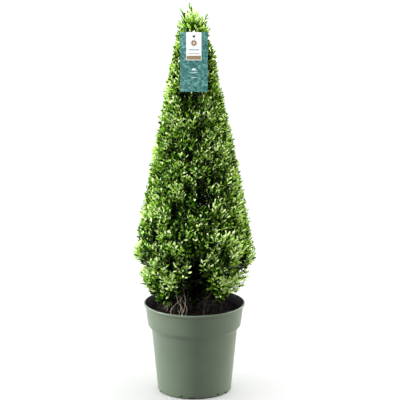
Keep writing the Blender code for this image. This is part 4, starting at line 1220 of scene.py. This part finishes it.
def make_tie():
    """A loop from the labels' hole round the leader, as a closed smooth curve through its knots."""
    frame = label_frame()
    lead = Vector(leader_centre(LABEL_HOLE.z - 4 * MM))
    front, side = 4 * MM, 6 * MM
    over = HOLE_BELOW_TOP + 2.5 * MM
    knots = [
        frame @ Vector((0, 1.6 * MM, front)),
        frame @ Vector((0, 1.6 * MM, -front)),
        lead + Vector((-side, -16 * MM, 0)),
        lead + Vector((-side, -side / 2, -2 * MM)),
        lead + Vector((-side / 2, side, -2 * MM)),
        lead + Vector((side / 2, side, -1 * MM)),
        lead + Vector((side, -side / 2, 0)),
        lead + Vector((side, -16 * MM, 4 * MM)),
        frame @ Vector((1 * MM, over, -front)),
        frame @ Vector((1 * MM, over, front * 0.6)),
        frame @ Vector((0, over / 2, front * 1.4)),
    ]
    knots = np.array([tuple(k) for k in knots])
    path = []
    for n in range(len(knots)):
        a, b, c, d = (knots[(n + k) % len(knots)] for k in (-1, 0, 1, 2))
        for t in np.linspace(0, 1, TIE_STEPS + 1)[:-1]:
            bend = (2 * a - 5 * b + 4 * c - d) * t**2 + (3 * b - a - 3 * c + d) * t**3
            path.append(0.5 * (2 * b + (c - a) * t + bend))
    path = np.array(path)
    tangents = unit(np.roll(path, -1, 0) - np.roll(path, 1, 0))
    side_way = unit(np.cross(tangents, np.array((0.2, 0.3, 0.93))))
    other = np.cross(tangents, side_way)
    angles = np.arange(TIE_SIDES) * FULL_TURN / TIE_SIDES
    c, s = np.cos(angles)[None, :, None], np.sin(angles)[None, :, None]
    points = path[:, None] + 0.7 * TIE_RADIUS * (c * side_way[:, None] + s * other[:, None])
    index = np.arange(len(path) * TIE_SIDES).reshape(-1, TIE_SIDES)
    ahead = np.roll(index, -1, 0)
    faces = np.stack([index, np.roll(index, -1, 1), np.roll(ahead, -1, 1), ahead], -1).reshape(-1, 4)
    tie = plain_material("tie_plastic", (0.75, 0.75, 0.70), 0.35)
    points = points.reshape(-1, 3)
    mesh_piece("label_tie_loop", points, faces, [tie], replaces=["label_tie"])


# ---- studio

CAMERA_DISTANCE = 3.98
CAMERA_HEIGHT = 1.38
CAMERA_PITCH_DEG = 12.455
FOCAL_MM = 144.2
SENSOR_MM = 36
AXIS_LEFT_OF_MIDDLE = 5.8 / 1609
FLOOR_REACH = 24
WORLD_LOW_STRENGTH = 0.62
WORLD_HIGH_STRENGTH = 1.5
WORLD_FRONT_SHARE = 0.05
LAMPS = (  # name, place, target height, size, power, colour
    ("key_left", (-2.3, -0.35, 0.9), 0.55, (0.8, 1.5), 145, (0.97, 0.985, 1)),
    ("key_right", (2.4, -0.1, 0.9), 0.55, (0.6, 1.5), 75, (1, 0.97, 0.9)),
    ("rim_left", (-1.8, 1.3, 1.0), 0.6, (0.5, 1.2), 60, (1, 1, 1)),
    ("rim_right", (1.8, 1.3, 1.0), 0.6, (0.5, 1.2), 60, (1, 1, 1)),
    ("overhead", (-0.45, -0.6, 3.0), 0.6, (0.5, 0.5), 140, (1, 1, 1)),
    ("crown_light", (-0.9, -2.6, 2.6), 0.6, (0.5, 0.5), 115, (1, 1, 1)),
)


def aim(thing, target):
    thing.rotation_euler = (Vector(target) - thing.location).to_track_quat("-Z", "Y").to_euler()


def make_camera():
    camera = add_object("camera", bpy.data.cameras.new("camera"))
    camera.data.lens = FOCAL_MM
    camera.data.sensor_width = SENSOR_MM
    camera.location = (0, -CAMERA_DISTANCE, CAMERA_HEIGHT)
    drop = CAMERA_DISTANCE * math.tan(math.radians(CAMERA_PITCH_DEG))
    aim(camera, (AXIS_LEFT_OF_MIDDLE * CAMERA_DISTANCE, 0, CAMERA_HEIGHT - drop))
    bpy.context.scene.camera = camera


def make_lamp(name, place, target_z, size, power, colour, unlit):
    """A softbox whose light stays off the things named, such as the floor, which the studio lights evenly."""
    light = bpy.data.lights.new(name, "AREA")
    light.shape = "RECTANGLE"
    light.size, light.size_y = size
    light.energy = power
    light.color = colour
    lamp = add_object(name, light)
    lamp.location = place
    aim(lamp, (0, 0, target_z))
    receivers = bpy.data.collections.new(name + "_receivers")
    for thing in unlit:
        receivers.objects.link(thing)
    for member in receivers.collection_objects:
        member.light_linking.link_state = "EXCLUDE"
    lamp.light_linking.receiver_collection = receivers


def make_world():
    """A white studio whose camera side is in shade, so that the lamps model the shapes."""
    world = bpy.data.worlds.new("studio")
    bpy.context.scene.world = world
    world.use_nodes = True
    nodes, links = world.node_tree.nodes, world.node_tree.links
    place = nodes.new("ShaderNodeTexCoord")
    split = nodes.new("ShaderNodeSeparateXYZ")
    links.new(place.outputs["Generated"], split.inputs["Vector"])

    def smooth_range(source, low, high, to_low, to_high):
        made = nodes.new("ShaderNodeMapRange")
        made.interpolation_type = "SMOOTHSTEP"
        for name, value in (("From Min", low), ("From Max", high), ("To Min", to_low), ("To Max", to_high)):
            made.inputs[name].default_value = value
        links.new(source, made.inputs["Value"])
        return made.outputs["Result"]

    def product(a, b):
        made = nodes.new("ShaderNodeMath")
        made.operation = "MULTIPLY"
        links.new(a, made.inputs[0])
        links.new(b, made.inputs[1])
        return made.outputs["Value"]

    frontal = smooth_range(split.outputs["Y"], -0.85, -0.15, 1, 0)
    low = smooth_range(split.outputs["Z"], 0.45, 0.9, 1, 0)
    lit = smooth_range(product(frontal, low), 0, 1, 1, WORLD_FRONT_SHARE)
    height = smooth_range(split.outputs["Z"], 0.05, 0.6, WORLD_LOW_STRENGTH, WORLD_HIGH_STRENGTH)
    background = nodes["Background"]
    background.inputs["Color"].default_value = (1, 1, 1, 1)
    links.new(product(lit, height), background.inputs["Strength"])


def make_studio(pot):
    scene = bpy.context.scene
    scene.view_settings.view_transform = "Standard"
    scene.view_settings.look = "None"
    make_world()
    mesh = bpy.data.meshes.new("floor")
    corners = [(x * FLOOR_REACH, y * FLOOR_REACH, 0) for x, y in ((-1, -1), (1, -1), (1, 1), (-1, 1))]
    mesh.from_pydata(corners, [], [(0, 1, 2, 3)])
    mesh.materials.append(Shader("floor_white", Base_Color=(0.95, 0.95, 0.95), Roughness=0.7).material)
    floor = add_object("floor", mesh)
    for name, *facts in LAMPS:
        make_lamp(name, *facts, [floor, pot] if name == "crown_light" else [floor])


# ---- build


def main():
    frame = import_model()
    make_camera()
    make_studio(make_pot())
    make_compost(frame["nodes"])
    make_stems()
    crown = Crown(3)
    crown.grow()
    crown.pieces()
    make_labels()
    make_tie()


main()
